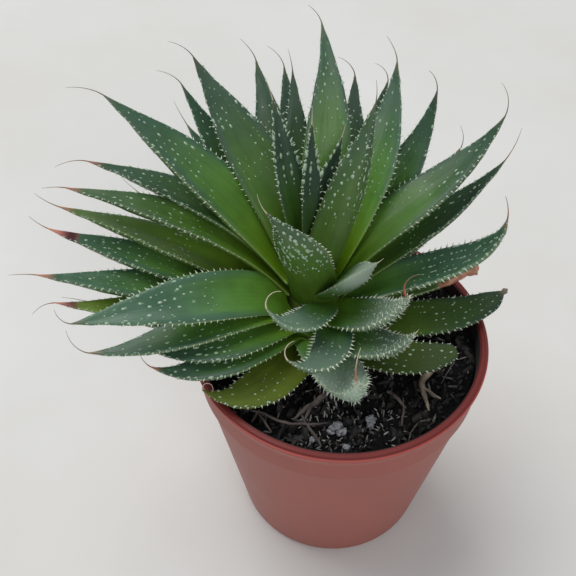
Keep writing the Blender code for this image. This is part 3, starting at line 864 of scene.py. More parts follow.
def make_flesh():
    material, tree, shader = new_material("leaf_flesh")
    at = {name: attribute_of(tree, name) for name in BLADE_VALUES}
    at["tissue"] = attribute_of(tree, "tissue", "Vector")
    at["across"] = calculated(tree, "ABSOLUTE", at["across"])
    patches = add_tone(tree, PATCH_LIGHT, PATCH_DARK, 110, 1.6)
    lengthwise = vector_of(tree, "MULTIPLY", at["tissue"], STREAK_GRAIN)
    streaks = add_tone(tree, STREAK_LIGHT, STREAK_DARK, 1.0, 1.7, lengthwise)
    color = patterned(tree, at, skin_color(tree, at), patches, streaks)
    waxy = map_range(tree, patches["Mask"], 0.2, 0.8, 0.28, 0.44)
    dull = map_range(tree, at["shade"], 0.4, 0.85, 0.42, 0)
    feed(tree, shader, {
        "Base Color": ended(tree, at, ripened(tree, at, color)),
        "Roughness": calculated(tree, "ADD", waxy, dull),
        "Specular IOR Level": 0.44,
        "Subsurface Weight": 0.12,
        "Subsurface Radius": (0.9, 1.2, 0.3),
        "Subsurface Scale": 2 * MM,
    })
    add_bump(tree, streaks["Mask"], shader, 0.1 * MM, 0.4)
    return material


leaf_flesh = make_flesh()
blades = []
for number, node in leaf_nodes.items():
    blades.append(finish_piece(f"{node}_blade", blade_mesh(number), leaf_flesh, [node], 180))
print("blades:", len(blades), "triangles:", count_triangles(*blades))

# %% [markdown]
# ## The pot
# A nursery pot is moulded from thin matte plastic: a plain flaring wall, a collar that stands out a
# little, and a thick rolled lip. It is turned here from the plain pot's profile with the edges rounded
# the way a mould leaves them, on 160 sides instead of 48. The drain holes are cut as a mould would leave
# them, straight through the floor. The lip is a stronger red than the wall, and the paler red of the ridge
# round its outer edge is a painted highlight. The wall is scuffed and chalky, and its inside above the
# peat is darkened with painted shade.

# %% Turn the pot
POT_SIDES = 160
POT_PROFILE_MM = (
    # radius, height, corner radius
    (0.0, 0.6, 0), (9.4, 0.6, 0.2), (9.6, 0.0, 0.2), (10.0, 0.0, 0.3), (11.0, 1.5, 0.5), (25.4, 1.5, 0.5),
    (26.4, 0.0, 0.4), (29.3, 0.0, 0.9), (30.4, 1.6, 1.1), (40.7, 65.0, 0.5), (41.6, 65.8, 0.4),
    (41.7, 73.4, 1.2), (42.6, 75.6, 1.0), (42.65, 76.7, 0.15), (43.05, 76.8, 0.12), (43.05, 77.35, 0.25),
    (42.5, 77.45, 0.15), (42.3, 77.95, 0.3), (41.0, 78.0, 0.35), (40.75, 77.5, 0.12), (40.5, 77.6, 0.1),
    (40.2, 65.0, 0.5), (39.5, 64.2, 0.5), (29.6, 2.7, 1.2), (0.0, 2.7, 0),
)
CORNER_STEPS = 5
SHARP_BELOW_MM = 0.05
CORNER_SHARE = 0.48


def rounded_profile(profile):
    """Corners in mm replaced by arcs that leave one side and reach the next smoothly, in metres."""
    points = [Vector((r, z)) for r, z, _ in profile]
    line = [points[0]]
    for i in range(1, len(profile) - 1):
        at, corner = points[i], profile[i][2]
        before, after = points[i - 1] - at, points[i + 1] - at
        reach = min(corner, before.length * CORNER_SHARE, after.length * CORNER_SHARE)
        if reach < SHARP_BELOW_MM:
            line.append(at)
            continue
        start, end = at + before.normalized() * reach, at + after.normalized() * reach
        for k in range(CORNER_STEPS + 1):
            u = k / CORNER_STEPS
            line.append(start * (1 - u) ** 2 + at * 2 * u * (1 - u) + end * u * u)
    line.append(points[-1])
    return [(r * MM, z * MM) for r, z in line]


def round_about(count):
    """Even angles round a circle."""
    return [2 * math.pi * i / count for i in range(count)]


def turned_mesh(name, line, sides):
    """A line of (radius, height) turned about the Z axis. Its ends lie on the axis."""
    points = [(0, 0, line[0][1])]
    for r, z in line[1:-1]:
        points += [(r * math.cos(angle), r * math.sin(angle), z) for angle in round_about(sides)]
    points.append((0, 0, line[-1][1]))
    last = len(points) - 1 - sides
    faces = []
    for i in range(sides):
        j = (i + 1) % sides
        faces.append((0, 1 + i, 1 + j))
        for low in range(1, last, sides):
            faces.append((low + i, low + j, low + sides + j, low + sides + i))
        faces.append((last + i, last + j, len(points) - 1))
    mesh = bpy.data.meshes.new(name)
    mesh.from_pydata(points, [], faces)
    shape = bmesh.new()
    shape.from_mesh(mesh)
    bmesh.ops.remove_doubles(shape, verts=shape.verts, dist=1e-7)
    bmesh.ops.recalc_face_normals(shape, faces=shape.faces)
    return mesh_of(name, shape)


# %% Cut the drain holes
DRAIN_HOLES, DRAIN_RING, DRAIN_RADIUS = 6, 18 * MM, 3 * MM
CUTTER_HEIGHT, CUTTER_MIDDLE, CUTTER_SIDES = 9 * MM, 2 * MM, 32


def drain_cutter(angle):
    shape = bmesh.new()
    bmesh.ops.create_cone(
        shape, cap_ends=True, segments=CUTTER_SIDES, radius1=DRAIN_RADIUS, radius2=DRAIN_RADIUS,
        depth=CUTTER_HEIGHT,
    )
    place = (DRAIN_RING * math.cos(angle), DRAIN_RING * math.sin(angle), CUTTER_MIDDLE)
    bmesh.ops.translate(shape, verts=shape.verts, vec=place)
    return add_object("drain_cutter", mesh_of("drain_cutter", shape))


def cut_drains(mesh):
    """The pot's mesh with its drain holes cut by an exact Boolean, which is applied at once."""
    holder = add_object("pot_uncut", mesh)
    cutters = [drain_cutter(angle) for angle in round_about(DRAIN_HOLES)]
    for cutter in cutters:
        cut = holder.modifiers.new("drain", "BOOLEAN")
        cut.operation, cut.solver, cut.object = "DIFFERENCE", "EXACT", cutter
    cut_mesh = evaluated_mesh(holder)
    for extra in (holder, *cutters):
        bpy.data.objects.remove(extra)
    return cut_mesh


# %% The pot's plastic
LIP_RED = (0.155, 0.016, 0.014)
# painted highlight: a paler red where the lip's outer ridge catches the light
LIP_RIDGE_HIGHLIGHT = (0.40, 0.075, 0.062)
WALL_CHALKY = (0.38, 0.116, 0.090)
WALL_RED = (0.27, 0.064, 0.048)
# painted shade: near black on the inside of the wall between the peat and the lip
PAINTED_INSIDE_SHADE = (0.022, 0.010, 0.008)
LIP_FROM, LIP_FULL, LIP_RAGGED = 76.9 * MM, 77.2 * MM, 0.5 * MM
RIDGE_FROM, RIDGE_FULL = 42.6 * MM, 42.9 * MM
INSIDE_SHADE_FROM, INSIDE_SHADE_FULL = 66.2 * MM, 67.0 * MM
INSIDE_FULL, INSIDE_UNTIL = 40.5 * MM, 40.9 * MM


def make_plastic():
    material, tree, shader = new_material("terracotta_plastic")
    place = add_node(tree, "ShaderNodeTexCoord").outputs["Object"]
    z = add_node(tree, "ShaderNodeSeparateXYZ", place).outputs["Z"]
    flat = vector_of(tree, "MULTIPLY", place, (1, 1, 0))
    radius = add_node(tree, "ShaderNodeVectorMath", flat, operation="LENGTH").outputs["Value"]
    wall = add_tone(tree, WALL_CHALKY, WALL_RED, 40, 1.3)
    ragged = add_tone(tree, WHITE, BLACK, 260, 1.0)["Mask"]
    lip = map_range(tree, calculated(tree, "MULTIPLY_ADD", ragged, LIP_RAGGED, z), LIP_FROM, LIP_FULL)
    color = mixed(tree, lip, wall["Color"], LIP_RED)
    # painted highlight on the lip's outer ridge
    ridge = product(tree, lip, map_range(tree, radius, RIDGE_FROM, RIDGE_FULL))
    color = mixed(tree, ridge, color, LIP_RIDGE_HIGHLIGHT)
    inside = map_range(tree, radius, INSIDE_FULL, INSIDE_UNTIL, 1, 0)
    # painted shade on the inside of the wall above the peat
    inside_shade = product(tree, map_range(tree, z, INSIDE_SHADE_FROM, INSIDE_SHADE_FULL), inside)
    feed(tree, shader, {
        "Base Color": mixed(tree, inside_shade, color, PAINTED_INSIDE_SHADE),
        "Roughness": map_range(tree, wall["Mask"], 0.2, 0.8, 0.48, 0.62),
        "Specular IOR Level": 0.35,
        "Sheen Weight": 0.06,
    })
    add_bump(tree, add_tone(tree, WHITE, BLACK, 1500, 1.5)["Mask"], shader, 0.08 * MM, 0.5)
    return material


pot_mesh = cut_drains(turned_mesh("turned_pot", rounded_profile(POT_PROFILE_MM), POT_SIDES))
pot = finish_piece("turned_pot", pot_mesh, make_plastic(), ["pot"], 40)
print("pot triangles:", count_triangles(pot))

# %% [markdown]
# ## Soil and stem
# The pot is filled with dark coarse peat. Its top is a grid of rings, roughened by noise at two sizes,
# and its sides follow the wall. The stem is short and hidden among the leaves' feet; what shows of it
# is a green core that tapers to the growing point.

# %% Peat
SOIL_TOP = 73 * MM
SOIL_RADIUS = 39.7 * MM
SOIL_SIDES, SOIL_RINGS = 120, 34
STEM_HOLE, STEM_HOLE_FLOOR = 8.3 * MM, 58 * MM
SOIL_BELOW_MM = ((39.7, 65.0), (38.6, 64.2), (29.2, 3.0))
COARSE, COARSE_GRAIN = 1.1 * MM, 210
FINE, FINE_GRAIN = 0.7 * MM, 700


def peat_height(x, y):
    place = Vector((x, y, 0.3))
    coarse, fine = noise.noise(place * COARSE_GRAIN), noise.noise(place * FINE_GRAIN)
    return SOIL_TOP + COARSE * coarse + FINE * fine


def soil_ring(share, radius, height=None):
    """A ring round the stem at share 0, and round the pot's middle at share 1."""
    stem = Vector((*STEM_AXIS, 0))
    ring = []
    for angle in round_about(SOIL_SIDES):
        x = stem.x * (1 - share) + radius * math.cos(angle)
        y = stem.y * (1 - share) + radius * math.sin(angle)
        ring.append((x, y, peat_height(x, y) if height is None else height))
    return ring


def peat_mesh():
    rings = [soil_ring(0, STEM_HOLE, STEM_HOLE_FLOOR)]
    for count in range(SOIL_RINGS + 1):
        share = count / SOIL_RINGS
        rings.append(soil_ring(share, STEM_HOLE + (SOIL_RADIUS - STEM_HOLE) * share))
    rings += [soil_ring(1, radius * MM, height * MM) for radius, height in SOIL_BELOW_MM]
    return tube_mesh("peat", np.array(rings))


peat = make_toned(
    "peat", light=(0.009, 0.008, 0.008), dark=(0.0015, 0.0015, 0.002), scale=900, contrast=2.2,
    roughness=0.95, bump=(0.6 * MM, 0.9), more={"Specular IOR Level": 0.2},
)
soil = finish_piece("peat_fill", peat_mesh(), peat, ["soil"], 180)
print("soil triangles:", count_triangles(soil))

# %% The stem
STEM_LINE_MM = (
    (0, 58, 0), (6, 58, 0.5), (8, 61, 2), (8, 76, 6), (3.2, 98, 3), (1.5, 103.6, 1), (0, 104, 0),
)
STEM_SIDES = 40

core = make_toned(
    "stem_core", light=(0.16, 0.24, 0.035), dark=(0.07, 0.12, 0.02), scale=220, contrast=1.4,
    roughness=0.6, bump=(0.2 * MM, 0.6),
)
stem_mesh = turned_mesh("stem_core", rounded_profile(STEM_LINE_MM), STEM_SIDES)
for vertex in stem_mesh.vertices:
    vertex.co.x += STEM_AXIS[0]
    vertex.co.y += STEM_AXIS[1]
stem = finish_piece("stem_core", stem_mesh, core, ["stem"], 60)
print("stem height in mm:", round(stem.dimensions.z / MM, 1))

# %% [markdown]
# ## Trees that dress the leaves
# The teeth, the pearly bumps and the bristles are each one small shape repeated many times, which is
# work for Geometry Nodes. The script lays thin guide lines on the blades, with the outward direction,
# the direction of the tip and a size stored on them. A tree then cuts the lines into even steps, sets
# one shape on every step and turns it outwards. Sizes and seeds are named inputs of the tree, and the
# result is turned to a plain mesh at once.

# %% Tree helpers
GUIDE_VALUES = {"facing": "FLOAT_VECTOR", "ahead": "FLOAT_VECTOR", "size": "FLOAT"}


def new_tree(name, **inputs):
    inputs = {"Geometry": "Geometry", **inputs, "Material": "Material"}
    return new_group(name, "GeometryNodeTree", inputs, {"Geometry": "Geometry"})


def end_tree(tree, given, out, **placed):
    """A shape on every point, then real geometry, with the material that the modifier is given."""
    instances = add_node(tree, "GeometryNodeInstanceOnPoints", **placed).outputs["Instances"]
    real = add_node(tree, "GeometryNodeRealizeInstances", Geometry=instances).outputs["Geometry"]
    painted = add_node(tree, "GeometryNodeSetMaterial", Geometry=real, Material=given["Material"])
    feed(tree, out, {"Geometry": painted.outputs["Geometry"]})


def guides_of(tree):
    """What is stored on the guide lines: the outward direction, the tip's direction and a size."""
    return [
        add_node(tree, "GeometryNodeInputNamedAttribute", data_type=kind, Name=name).outputs["Attribute"]
        for name, kind in GUIDE_VALUES.items()
    ]


def random_number(tree, low, high, seed, shift=0):
    node = add_node(tree, "FunctionNodeRandomValue", data_type="FLOAT")
    feed(tree, node, {2: low, 3: high, "Seed": calculated(tree, "ADD", seed, shift)})
    return node.outputs[1]


def random_vector(tree, reach, seed, shift):
    node = add_node(tree, "FunctionNodeRandomValue", data_type="FLOAT_VECTOR")
    feed(tree, node, {0: (-reach,) * 3, 1: (reach,) * 3, "Seed": calculated(tree, "ADD", seed, shift)})
    return node.outputs[0]


def scaled(tree, vector, scale):
    return vector_of(tree, "SCALE", vector, Scale=scale)


def stepped_line(tree, given, ahead):
    """The guide lines cut into even steps, each point moved a little to or from the leaf's tip."""
    curve = add_node(tree, "GeometryNodeMeshToCurve", Mesh=given["Geometry"]).outputs["Curve"]
    steps = add_node(tree, "GeometryNodeResampleCurve", mode="LENGTH", Curve=curve, Length=given["Spacing"])
    jitter = scaled(tree, ahead, product(tree, random_number(tree, -1, 1, given["Seed"]), given["Jitter"]))
    move = add_node(tree, "GeometryNodeSetPosition", Geometry=steps.outputs["Curve"], Offset=jitter)
    return move.outputs["Geometry"]


def turned_outwards(tree, facing, ahead):
    return add_node(tree, "FunctionNodeAxesToRotation", facing, ahead).outputs[0]


# %% The spike tree and the pearl tree


def make_spike_tree():
    """Slender cones along guide lines: teeth, keel spines and bristles."""
    tree, given, out = new_tree(
        "spikes_on_lines",
        Spacing=0.0018, Jitter=0.0001, Radius=0.0002, Length=0.001, Lean=0.4, Unruly=0.2, Seed=1,
    )
    facing, ahead, size = guides_of(tree)
    leaning = vector_of(tree, "ADD", facing, scaled(tree, ahead, given["Lean"]))
    wild = scaled(tree, random_vector(tree, 1, given["Seed"], 3), given["Unruly"])
    leaning = vector_of(tree, "ADD", leaning, wild)
    cone = add_node(tree, "GeometryNodeMeshCone", Vertices=5)
    feed(tree, cone, {"Radius Top": 0, "Radius Bottom": 1, "Depth": 1})
    wide = product(tree, given["Radius"], size)
    tall = product(tree, given["Length"], size, random_number(tree, 0.6, 1.25, given["Seed"], 7))
    end_tree(
        tree, given, out,
        Points=stepped_line(tree, given, ahead), Instance=cone.outputs["Mesh"],
        Rotation=turned_outwards(tree, leaning, ahead), Scale=joined(tree, wide, wide, tall),
    )
    return tree


def make_pearl_tree():
    """Low rounded bumps along guide lines."""
    tree, given, out = new_tree(
        "pearls_on_lines", Spacing=0.0018, Jitter=0.0003, Radius=0.00035, Rise=0.5, Seed=1,
    )
    facing, ahead, size = guides_of(tree)
    size = product(tree, size, random_number(tree, 0.45, 1.2, given["Seed"], 5))
    across = product(tree, size, given["Radius"])
    longer = product(tree, across, random_number(tree, 1.1, 2.3, given["Seed"], 6))
    high = product(tree, across, given["Rise"])
    ball = add_node(tree, "GeometryNodeMeshIcoSphere", Radius=1.0, Subdivisions=1)
    end_tree(
        tree, given, out,
        Points=stepped_line(tree, given, ahead), Instance=ball.outputs["Mesh"],
        Rotation=turned_outwards(tree, facing, ahead), Scale=joined(tree, longer, across, high),
    )
    return tree


spike_tree, pearl_tree = make_spike_tree(), make_pearl_tree()
print("trees:", spike_tree.name, pearl_tree.name)

# %% Guide lines


def guide_line(leaf, share, angle, size, sunk=0.0):
    """A line on the skin of a blade, with all that a tree reads from it."""
    facing = facing_at(leaf, share, angle)
    ahead = unit(way_at(leaf, place_on(leaf, share)))
    return (blade_at(leaf, share, angle) - facing * sunk, facing, ahead, size)


def guide_mesh(name, lines):
    """Many guide lines in one mesh."""
    points, edges = [], []
    for line, _, _, _ in lines:
        edges += [(len(points) + i, len(points) + i + 1) for i in range(len(line) - 1)]
        points += line.tolist()
    mesh = bpy.data.meshes.new(name)
    mesh.from_pydata(points, edges, [])
    for place, (label, kind) in enumerate(GUIDE_VALUES.items(), start=1):
        set_attribute(mesh, label, kind, np.concatenate([line[place] for line in lines]))
    return mesh


def grown(name, guide, tree, material, **values):
    """What a tree makes of a mesh, as a plain mesh."""
    holder = add_object(name, guide)
    modifier = holder.modifiers.new(tree.name, "NODES")
    modifier.node_group = tree
    values["Material"] = material
    for item in tree.interface.items_tree:
        if item.in_out == "INPUT" and item.name in values:
            modifier[item.identifier] = values[item.name]
    mesh = evaluated_mesh(holder)
    holder.modifiers.remove(modifier)
    bpy.data.objects.remove(holder)
    mesh.name = name
    return mesh


# %% [markdown]
# ## Teeth along the edges
# Both edges of a lace aloe leaf carry soft white teeth, fewest near the foot and smallest near the tip.
# They stand outwards and lean a little to the tip. A short row of the same spines runs down the keel
# just behind the tip. One leaf, a blunt old one at the front, carries them all round its tip. They are
# horn rather than flesh, so they get a pale material of their own.

# %% Teeth
TEETH_FROM, TEETH_TO = 0.26, 0.985
TEETH_ALL_ROUND = {2: 0.998}
TOOTH_SUNK = 0.05 * MM
TOOTH_SIZES, KEEL_SIZES = (0.45, 1.0, 0.9, 0.5), (0.5, 0.85, 0.5)
EDGE_POINTS, KEEL_POINTS = 40, 20
KEEL_FROM, KEEL_SHORTEST, KEEL_SHORTER = 0.66, 0.1, 0.03


def edge_lines(leaf, first, last, swell):
    share = np.linspace(first, last, EDGE_POINTS)
    size = np.interp(share, (first, first + 0.2, 0.75, last), TOOTH_SIZES) * swell
    return [guide_line(leaf, share, angle, size, TOOTH_SUNK) for angle in (0.0, math.pi)]


def keel_line(leaf, first, last):
    share = np.linspace(first, last, KEEL_POINTS)
    size = np.interp(share, (first, first + 0.12, last), KEEL_SIZES)
    return guide_line(leaf, share, -math.pi / 2, size, TOOTH_SUNK)


horn = make_toned(
    "white_horn", light=(0.80, 0.83, 0.74), dark=(0.56, 0.64, 0.50), scale=700, contrast=1.2,
    roughness=0.45,
    more={"Subsurface Weight": 0.2, "Subsurface Radius": (1.0, 1.0, 0.9), "Subsurface Scale": 0.6 * MM},
)
tooth_lines = []
for number, leaf in measured.items():
    stop = TEETH_ALL_ROUND.get(number, min(TEETH_TO, DRY_FROM.get(number, TEETH_TO)))
    tooth_lines += edge_lines(leaf, TEETH_FROM, stop, LONG_TEETH.get(number, 1.0))
    tooth_lines.append(keel_line(leaf, min(KEEL_FROM, stop - KEEL_SHORTEST), stop - KEEL_SHORTER))
teeth_mesh = grown(
    "margin_teeth", guide_mesh("tooth_guides", tooth_lines), spike_tree, horn,
    Spacing=0.00175, Jitter=0.00012, Radius=0.00021, Length=0.00105, Lean=0.35, Unruly=0.22, Seed=11,
)
teeth = finish_piece("margin_teeth", teeth_mesh, horn, (), 30)
print("tooth triangles:", count_triangles(teeth))

# %% [markdown]
# ## Pearly bumps
# Rows of small raised white dots run across the outer half of every leaf, on both sides. No two rows are
# alike: they slant, their spacing changes, and the dots shrink near the tip. On some leaves they are
# bolder or stand closer. Each row is one guide line bent over the skin, and its dots are low domes half
# sunk in the flesh.

# %% Pearls
PEARLS_FROM, PEARLS_TO = 0.42, 0.96
ROW_EVERY = 2.7 * MM
ROW_POINTS = 9
TOP_REACH, UNDER_REACH = 1.15, 1.30
ROW_BOW, ROW_SLANT, ROW_SHIFT = 0.008, 0.012, 0.12
PEARL_SIZES = (0.55, 1.0, 0.85, 0.6)
randoms = np.random.default_rng(5)


def pearl_rows(number):
    """Rows over the top of a blade and then under it, each slanted, shifted and spaced at random."""
    leaf = measured[number]
    stop = min(PEARLS_TO, DRY_FROM.get(number, PEARLS_TO))
    every = ROW_EVERY / CROWDED.get(number, 1.0) / leaf["length"]
    lines = []
    for side, reach, begin in ((1, TOP_REACH, PEARLS_FROM), (-1, UNDER_REACH, PEARLS_FROM - 0.06)):
        share = begin + randoms.uniform(0, 0.04)
        while share < stop:
            slant = randoms.uniform(-ROW_SLANT, ROW_SLANT)
            spread = np.linspace(-reach, reach, ROW_POINTS) + randoms.uniform(-ROW_SHIFT, ROW_SHIFT)
            swell = np.interp(share, (begin, begin + 0.25, 0.8, 1), PEARL_SIZES)
            swell *= randoms.uniform(0.8, 1.15) * BOLD_DOTS.get(number, 1.0)
            at = share + slant * spread - ROW_BOW * spread ** 2
            angle = side * (math.pi / 2 + spread)
            lines.append(guide_line(leaf, at, angle, np.full(ROW_POINTS, swell)))
            share += every * randoms.uniform(0.65, 1.35) * np.interp(share, (0.5, 1), (1, 0.7))
    return lines


pearl = make_toned(
    "pearly_wax", light=(0.50, 0.63, 0.48), dark=(0.28, 0.41, 0.29), scale=350, contrast=1.6, roughness=0.7,
    more={"Specular IOR Level": 0.25},
)
pearl_lines = [line for number in leaf_nodes for line in pearl_rows(number)]
pearl_mesh = grown(
    "pearly_bumps", guide_mesh("pearl_guides", pearl_lines), pearl_tree, pearl,
    Spacing=0.0020, Jitter=0.0008, Radius=0.00036, Rise=0.22, Seed=23,
)
pearls = finish_piece("pearly_bumps", pearl_mesh, pearl, (), 180)
print("pearl triangles:", count_triangles(pearls))

# %% [markdown]
# ## Bristles
# Three short leaves at the front are crowded with soft bristles, which make them look almost white. They
# grow all over both faces of the outer half. More guide lines run lengthwise over these blades, and the
# same spike tree as for the teeth sets longer and more unruly spikes on them.

# %% Bristles
BRISTLES_FROM, BRISTLES_TO = 0.52, 0.97
BRISTLE_LINES, BRISTLE_POINTS = 12, 30
BRISTLE_SIZES = (0.3, 1.0, 0.8)
WANDER, WANDER_ALONG, WANDER_APART = 0.12, 20, 2.1


def bristle_lines(number):
    share = np.linspace(BRISTLES_FROM, BRISTLES_TO, BRISTLE_POINTS)
    size = np.interp(share, (BRISTLES_FROM, 0.72, 1), BRISTLE_SIZES) * HAIRY[number]
    lines = []
    for i in range(BRISTLE_LINES):
        wander = WANDER * np.sin(share * WANDER_ALONG + i * WANDER_APART)
        angle = 2 * math.pi * (i + 0.5) / BRISTLE_LINES + wander
        lines.append(guide_line(measured[number], share, angle, size))
    return lines


soft_lines = [line for number in HAIRY for line in bristle_lines(number)]
bristle_mesh = grown(
    "bristles", guide_mesh("bristle_guides", soft_lines), spike_tree, horn,
    Spacing=0.0015, Jitter=0.0004, Radius=0.00019, Length=0.0015, Lean=0.8, Unruly=0.6, Seed=31,
)
bristles = finish_piece("bristles", bristle_mesh, horn, (), 30)
print("bristle triangles:", count_triangles(bristles))

# %% [markdown]
# ## Loose pieces on the soil
# Peat looks like what it is because of its loose pieces: dark crumbs of every size, splinters of bark, a
# few pale grains of perlite, and a patch of pale grit at the front. All of them are one lumpy stone,
# scattered over the soil's top by a tree, each turned and scaled at random.

# %% The crumb tree


def make_crumb_tree():
    tree, given, out = new_tree(
        "crumbs_on_soil",
        Density=100000.0, Smallest=0.0004, Largest=0.0012, Length=1.3, Thickness=0.8, Lift=0.0002, Seed=1,
    )
    seed = given["Seed"]
    scatter = add_node(
        tree, "GeometryNodeDistributePointsOnFaces",
        Mesh=given["Geometry"], Density=given["Density"], Seed=seed,
    )
    lifted = add_node(
        tree, "GeometryNodeSetPosition",
        Geometry=scatter.outputs["Points"], Offset=joined(tree, 0, 0, given["Lift"]),
    )
    ball = add_node(tree, "GeometryNodeMeshIcoSphere", Radius=1.0, Subdivisions=1).outputs["Mesh"]
    lumpy = random_vector(tree, 0.3, seed, 9)
    stone = add_node(tree, "GeometryNodeSetPosition", Geometry=ball, Offset=lumpy)
    size = random_number(tree, given["Smallest"], given["Largest"], seed)
    thick = product(tree, size, given["Thickness"])
    flat = product(tree, thick, random_number(tree, 0.5, 1.0, seed, 4))
    end_tree(
        tree, given, out,
        Points=lifted.outputs["Geometry"], Instance=stone.outputs["Geometry"],
        Rotation=random_vector(tree, math.pi, seed, 2),
        Scale=joined(tree, product(tree, size, given["Length"]), thick, flat),
    )
    return tree


crumb_tree = make_crumb_tree()
print("tree:", crumb_tree.name)

# %% Crumbs, splinters, grains and grit
TOP_FROM, TOP_SLOPE = 70 * MM, 0.3
INSIDE_LIP = 38.6 * MM
GRIT_PLACE, GRIT_REACH = Vector((2, -31)) * MM, 15 * MM


def is_inside_lip(at):
    return math.hypot(at.x, at.y) < INSIDE_LIP


def is_gritty(at):
    """The patch at the front where pale grit lies thickest."""
    return is_inside_lip(at) and (at.xy - GRIT_PLACE).length < GRIT_REACH


def soil_top_mesh(name, keep):
    """The faces of the peat's top whose middles pass a test, as a thin sheet to scatter on."""
    shape = bmesh.new()
    shape.from_mesh(soil.data)
    extra = []
    for face in shape.faces:
        middle = face.calc_center_median()
        if face.normal.z < TOP_SLOPE or middle.z < TOP_FROM or not keep(middle):
            extra.append(face)
    bmesh.ops.delete(shape, geom=extra, context="FACES")
    return mesh_of(name, shape)


def make_scrap(name, light, dark, scale, roughness, contrast=1.6):
    return make_toned(name, light, dark, scale, contrast, roughness, bump=(0.2 * MM, 0.6))


def scatter_piece(name, material, keep, *values):
    """A piece of scattered stones. Its values are the tree's inputs, in the order of the tree."""
    inputs = dict(zip(("Density", "Smallest", "Largest", "Length", "Thickness", "Lift", "Seed"), values))
    mesh = grown(name, soil_top_mesh(f"{name}_sheet", keep), crumb_tree, material, **inputs)
    print(name, "triangles:", count_triangles(finish_piece(name, mesh, material, (), 60)))


crumb_earth = make_scrap("crumb_earth", (0.022, 0.018, 0.017), (0.0015, 0.0015, 0.002), 500, 0.75)
bark_grey = make_scrap("bark_grey", (0.26, 0.24, 0.22), (0.006, 0.005, 0.005), 330, 0.85, 3.2)
perlite = make_scrap("perlite", (0.46, 0.46, 0.44), (0.10, 0.10, 0.10), 500, 0.85, 2.4)
# name, material, place, number to a square metre, smallest, largest, length, thickness, lift, seed
scatter_piece("fine_crumbs", crumb_earth, is_inside_lip, 260000.0, 0.0003, 0.0010, 1.4, 0.8, 0.0001, 3)
scatter_piece("coarse_crumbs", crumb_earth, is_inside_lip, 80000.0, 0.0008, 0.0021, 1.6, 0.6, 0.0003, 8)
scatter_piece("bark_splinters", bark_grey, is_inside_lip, 60000.0, 0.0005, 0.0011, 2.1, 0.36, 0.0007, 21)
scatter_piece("white_grains", perlite, is_inside_lip, 5000.0, 0.0002, 0.0007, 1.5, 0.6, 0.0007, 14)
scatter_piece("front_grit", perlite, is_gritty, 230000.0, 0.0002, 0.0007, 2.1, 0.4, 0.0008, 29)

# %% [markdown]
# ## Roots, a twig and lumps
# Dry root fibres, a forked straw-coloured twig and some bigger lumps of perlite lie loose at the front.
# Each fibre is a thin tube through a few places, with its radius at each, softened and then unsettled by
# noise. A lump is a ball pushed in and out by noise, half sunk in the peat.

# %% Fibres
ROOTS = (
    # places along each in mm, with its radius there
    (
        (-26.5, -24.7, 74.6, 0.2), (-22.6, -26.3, 75.3, 0.4), (-16.6, -29.9, 75.4, 0.42),
        (-7.4, -30.2, 75.0, 0.38), (-4.0, -29.0, 74.4, 0.2),
    ),
    (
        (-4.5, -20.0, 74.8, 0.9), (-6.7, -22.7, 75.5, 0.85),
        (-10.0, -25.2, 75.5, 0.7), (-13.6, -28.0, 74.3, 0.25),
    ),
    ((-8.6, -24.2, 75.2, 0.5), (-9.8, -26.6, 75.3, 0.5), (-10.6, -28.9, 74.3, 0.2)),
    (
        (-11.2, -27.0, 74.8, 0.3), (-9.6, -30.8, 75.2, 0.38),
        (-7.5, -34.3, 75.1, 0.4), (-6.2, -36.6, 74.4, 0.2),
    ),
    ((-23.0, -25.4, 75.0, 0.3), (-24.8, -28.9, 74.6, 0.3)),
    ((-22.9, -26.6, 75.0, 0.3), (-21.2, -29.6, 75.0, 0.35), (-19.4, -32.0, 74.5, 0.2)),
    ((16.9, -21.0, 74.6, 0.2), (16.5, -25.7, 75.4, 0.3), (15.8, -30.5, 74.6, 0.25)),
    ((12.9, -19.0, 74.6, 0.5), (14.9, -21.3, 75.3, 0.6), (17.2, -24.5, 74.5, 0.3)),
    ((28.0, -16.0, 74.4, 0.15), (32.5, -9.0, 75.0, 0.22), (34.5, -2.0, 74.4, 0.12)),
    ((24.0, -28.0, 74.4, 0.2), (20.0, -29.5, 75.2, 0.28), (17.5, -33.0, 74.5, 0.15)),
)
TWIG = (
    (
        (29.5, -10.0, 74.8, 0.4), (26.5, -11.6, 75.3, 1.1), (23.6, -13.4, 75.6, 1.3),
        (22.2, -17.0, 75.5, 0.9), (22.9, -21.7, 75.2, 0.6), (23.6, -25.3, 74.4, 0.3),
    ),
    ((22.4, -17.6, 75.3, 0.4), (25.1, -20.0, 75.4, 0.35), (27.4, -21.2, 74.6, 0.2)),
)
FIBRE_RINGS, FIBRE_SIDES = 26, 7
FIBRE_SOFTNESS = 1.6
UNREST, UNREST_GRAIN = 0.35 * MM, 400
UNREST_APART = (0.0, 37.3, 71.9)


def unrest_at(place):
    """Soft noise in three directions, each read from its own part of the noise, the same in every run."""
    return UNREST * np.array([noise.noise(place + Vector((0, 0, apart))) for apart in UNREST_APART])


def fibre_rings(places, seed):
    rows = np.array(places) * MM
    reach = arc_of(rows[:, :3])
    rows = soften(read_at(np.linspace(0, reach[-1], FIBRE_RINGS), reach, rows), FIBRE_SOFTNESS)
    line, radius = rows[:, :3], rows[:, 3]
    for at in line:
        at += unrest_at(Vector(at) * UNREST_GRAIN + Vector((seed, 0, 0)))
    alongs = unit(np.gradient(line, axis=0))
    side = unit(np.cross(alongs, (0, 0, 1.0)))
    up = np.cross(side, alongs)
    angles = np.linspace(0, 2 * math.pi, FIBRE_SIDES, endpoint=False)
    ring = side[:, None] * np.cos(angles)[:, None] + up[:, None] * np.sin(angles)[:, None]
    return line[:, None] + ring * radius[:, None, None]


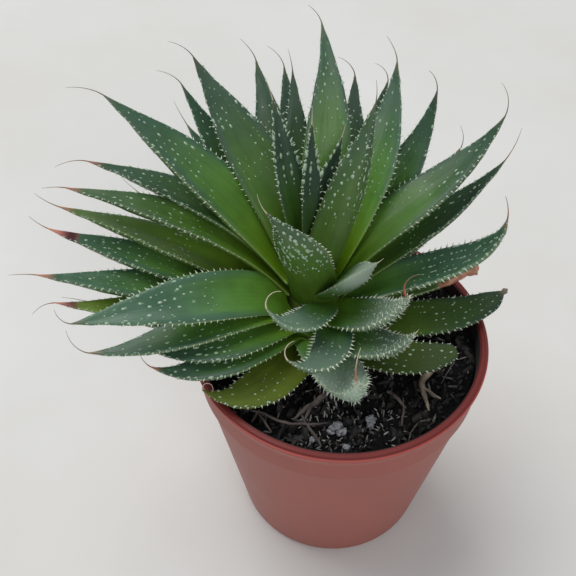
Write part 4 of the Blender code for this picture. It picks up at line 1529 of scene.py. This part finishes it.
def fibres_mesh(name, fibres):
    """Several tubes in one mesh."""
    shape = bmesh.new()
    for seed, places in enumerate(fibres):
        tube = tube_mesh("tube", fibre_rings(places, seed))
        shape.from_mesh(tube)
        bpy.data.meshes.remove(tube)
    return mesh_of(name, shape)


root_grey = make_scrap("root_grey", (0.13, 0.105, 0.095), (0.03, 0.022, 0.02), 300, 0.85, 2.4)
dead_straw = make_scrap("dead_straw", (0.40, 0.33, 0.25), (0.09, 0.066, 0.05), 220, 0.85, 2.6)
finish_piece("root_fibres", fibres_mesh("root_fibres", ROOTS), root_grey, (), 180)
finish_piece("dry_twig", fibres_mesh("dry_twig", TWIG), dead_straw, (), 180)
print("roots:", len(ROOTS), "branches of the twig:", len(TWIG))

# %% Lumps of perlite
LUMPS = (
    # place in mm and radius of each
    (-2.0, -30.2, 1.6), (-0.6, -31.9, 1.3), (-3.4, -31.6, 1.0), (7.5, -28.0, 1.3), (7.3, -29.6, 1.1),
    (6.1, -18.8, 1.2), (-8.6, -34.2, 0.9), (0.6, -36.6, 0.9),
)
LUMP_HEIGHT_MM = 73.8
LUMP_FLATNESS = 0.6
LUMP_STANDS_OUT = 0.2
LUMP_COARSE, LUMP_COARSE_GRAIN = 0.5, 700
LUMP_FINE, LUMP_FINE_GRAIN = 0.35, 2200


def lumps_mesh(name, lumps):
    """Balls pushed in and out by noise of two sizes, and flattened."""
    shape = bmesh.new()
    for x, y, radius in lumps:
        place = Vector((x, y, 0))
        for vertex in bmesh.ops.create_icosphere(shape, subdivisions=3, radius=radius * MM)["verts"]:
            coarse = noise.noise(vertex.co * LUMP_COARSE_GRAIN + place)
            fine = noise.noise(vertex.co * LUMP_FINE_GRAIN + place)
            vertex.co *= 1 + LUMP_COARSE * coarse + LUMP_FINE * fine
            vertex.co.z *= LUMP_FLATNESS
            vertex.co += Vector((x, y, LUMP_HEIGHT_MM + radius * LUMP_STANDS_OUT)) * MM
    return mesh_of(name, shape)


lump_white = make_scrap("lump_white", (0.36, 0.37, 0.40), (0.03, 0.03, 0.035), 1300, 0.9, 2.6)
finish_piece("perlite_lumps", lumps_mesh("perlite_lumps", LUMPS), lump_white, (), 180)
print("lumps:", len(LUMPS))
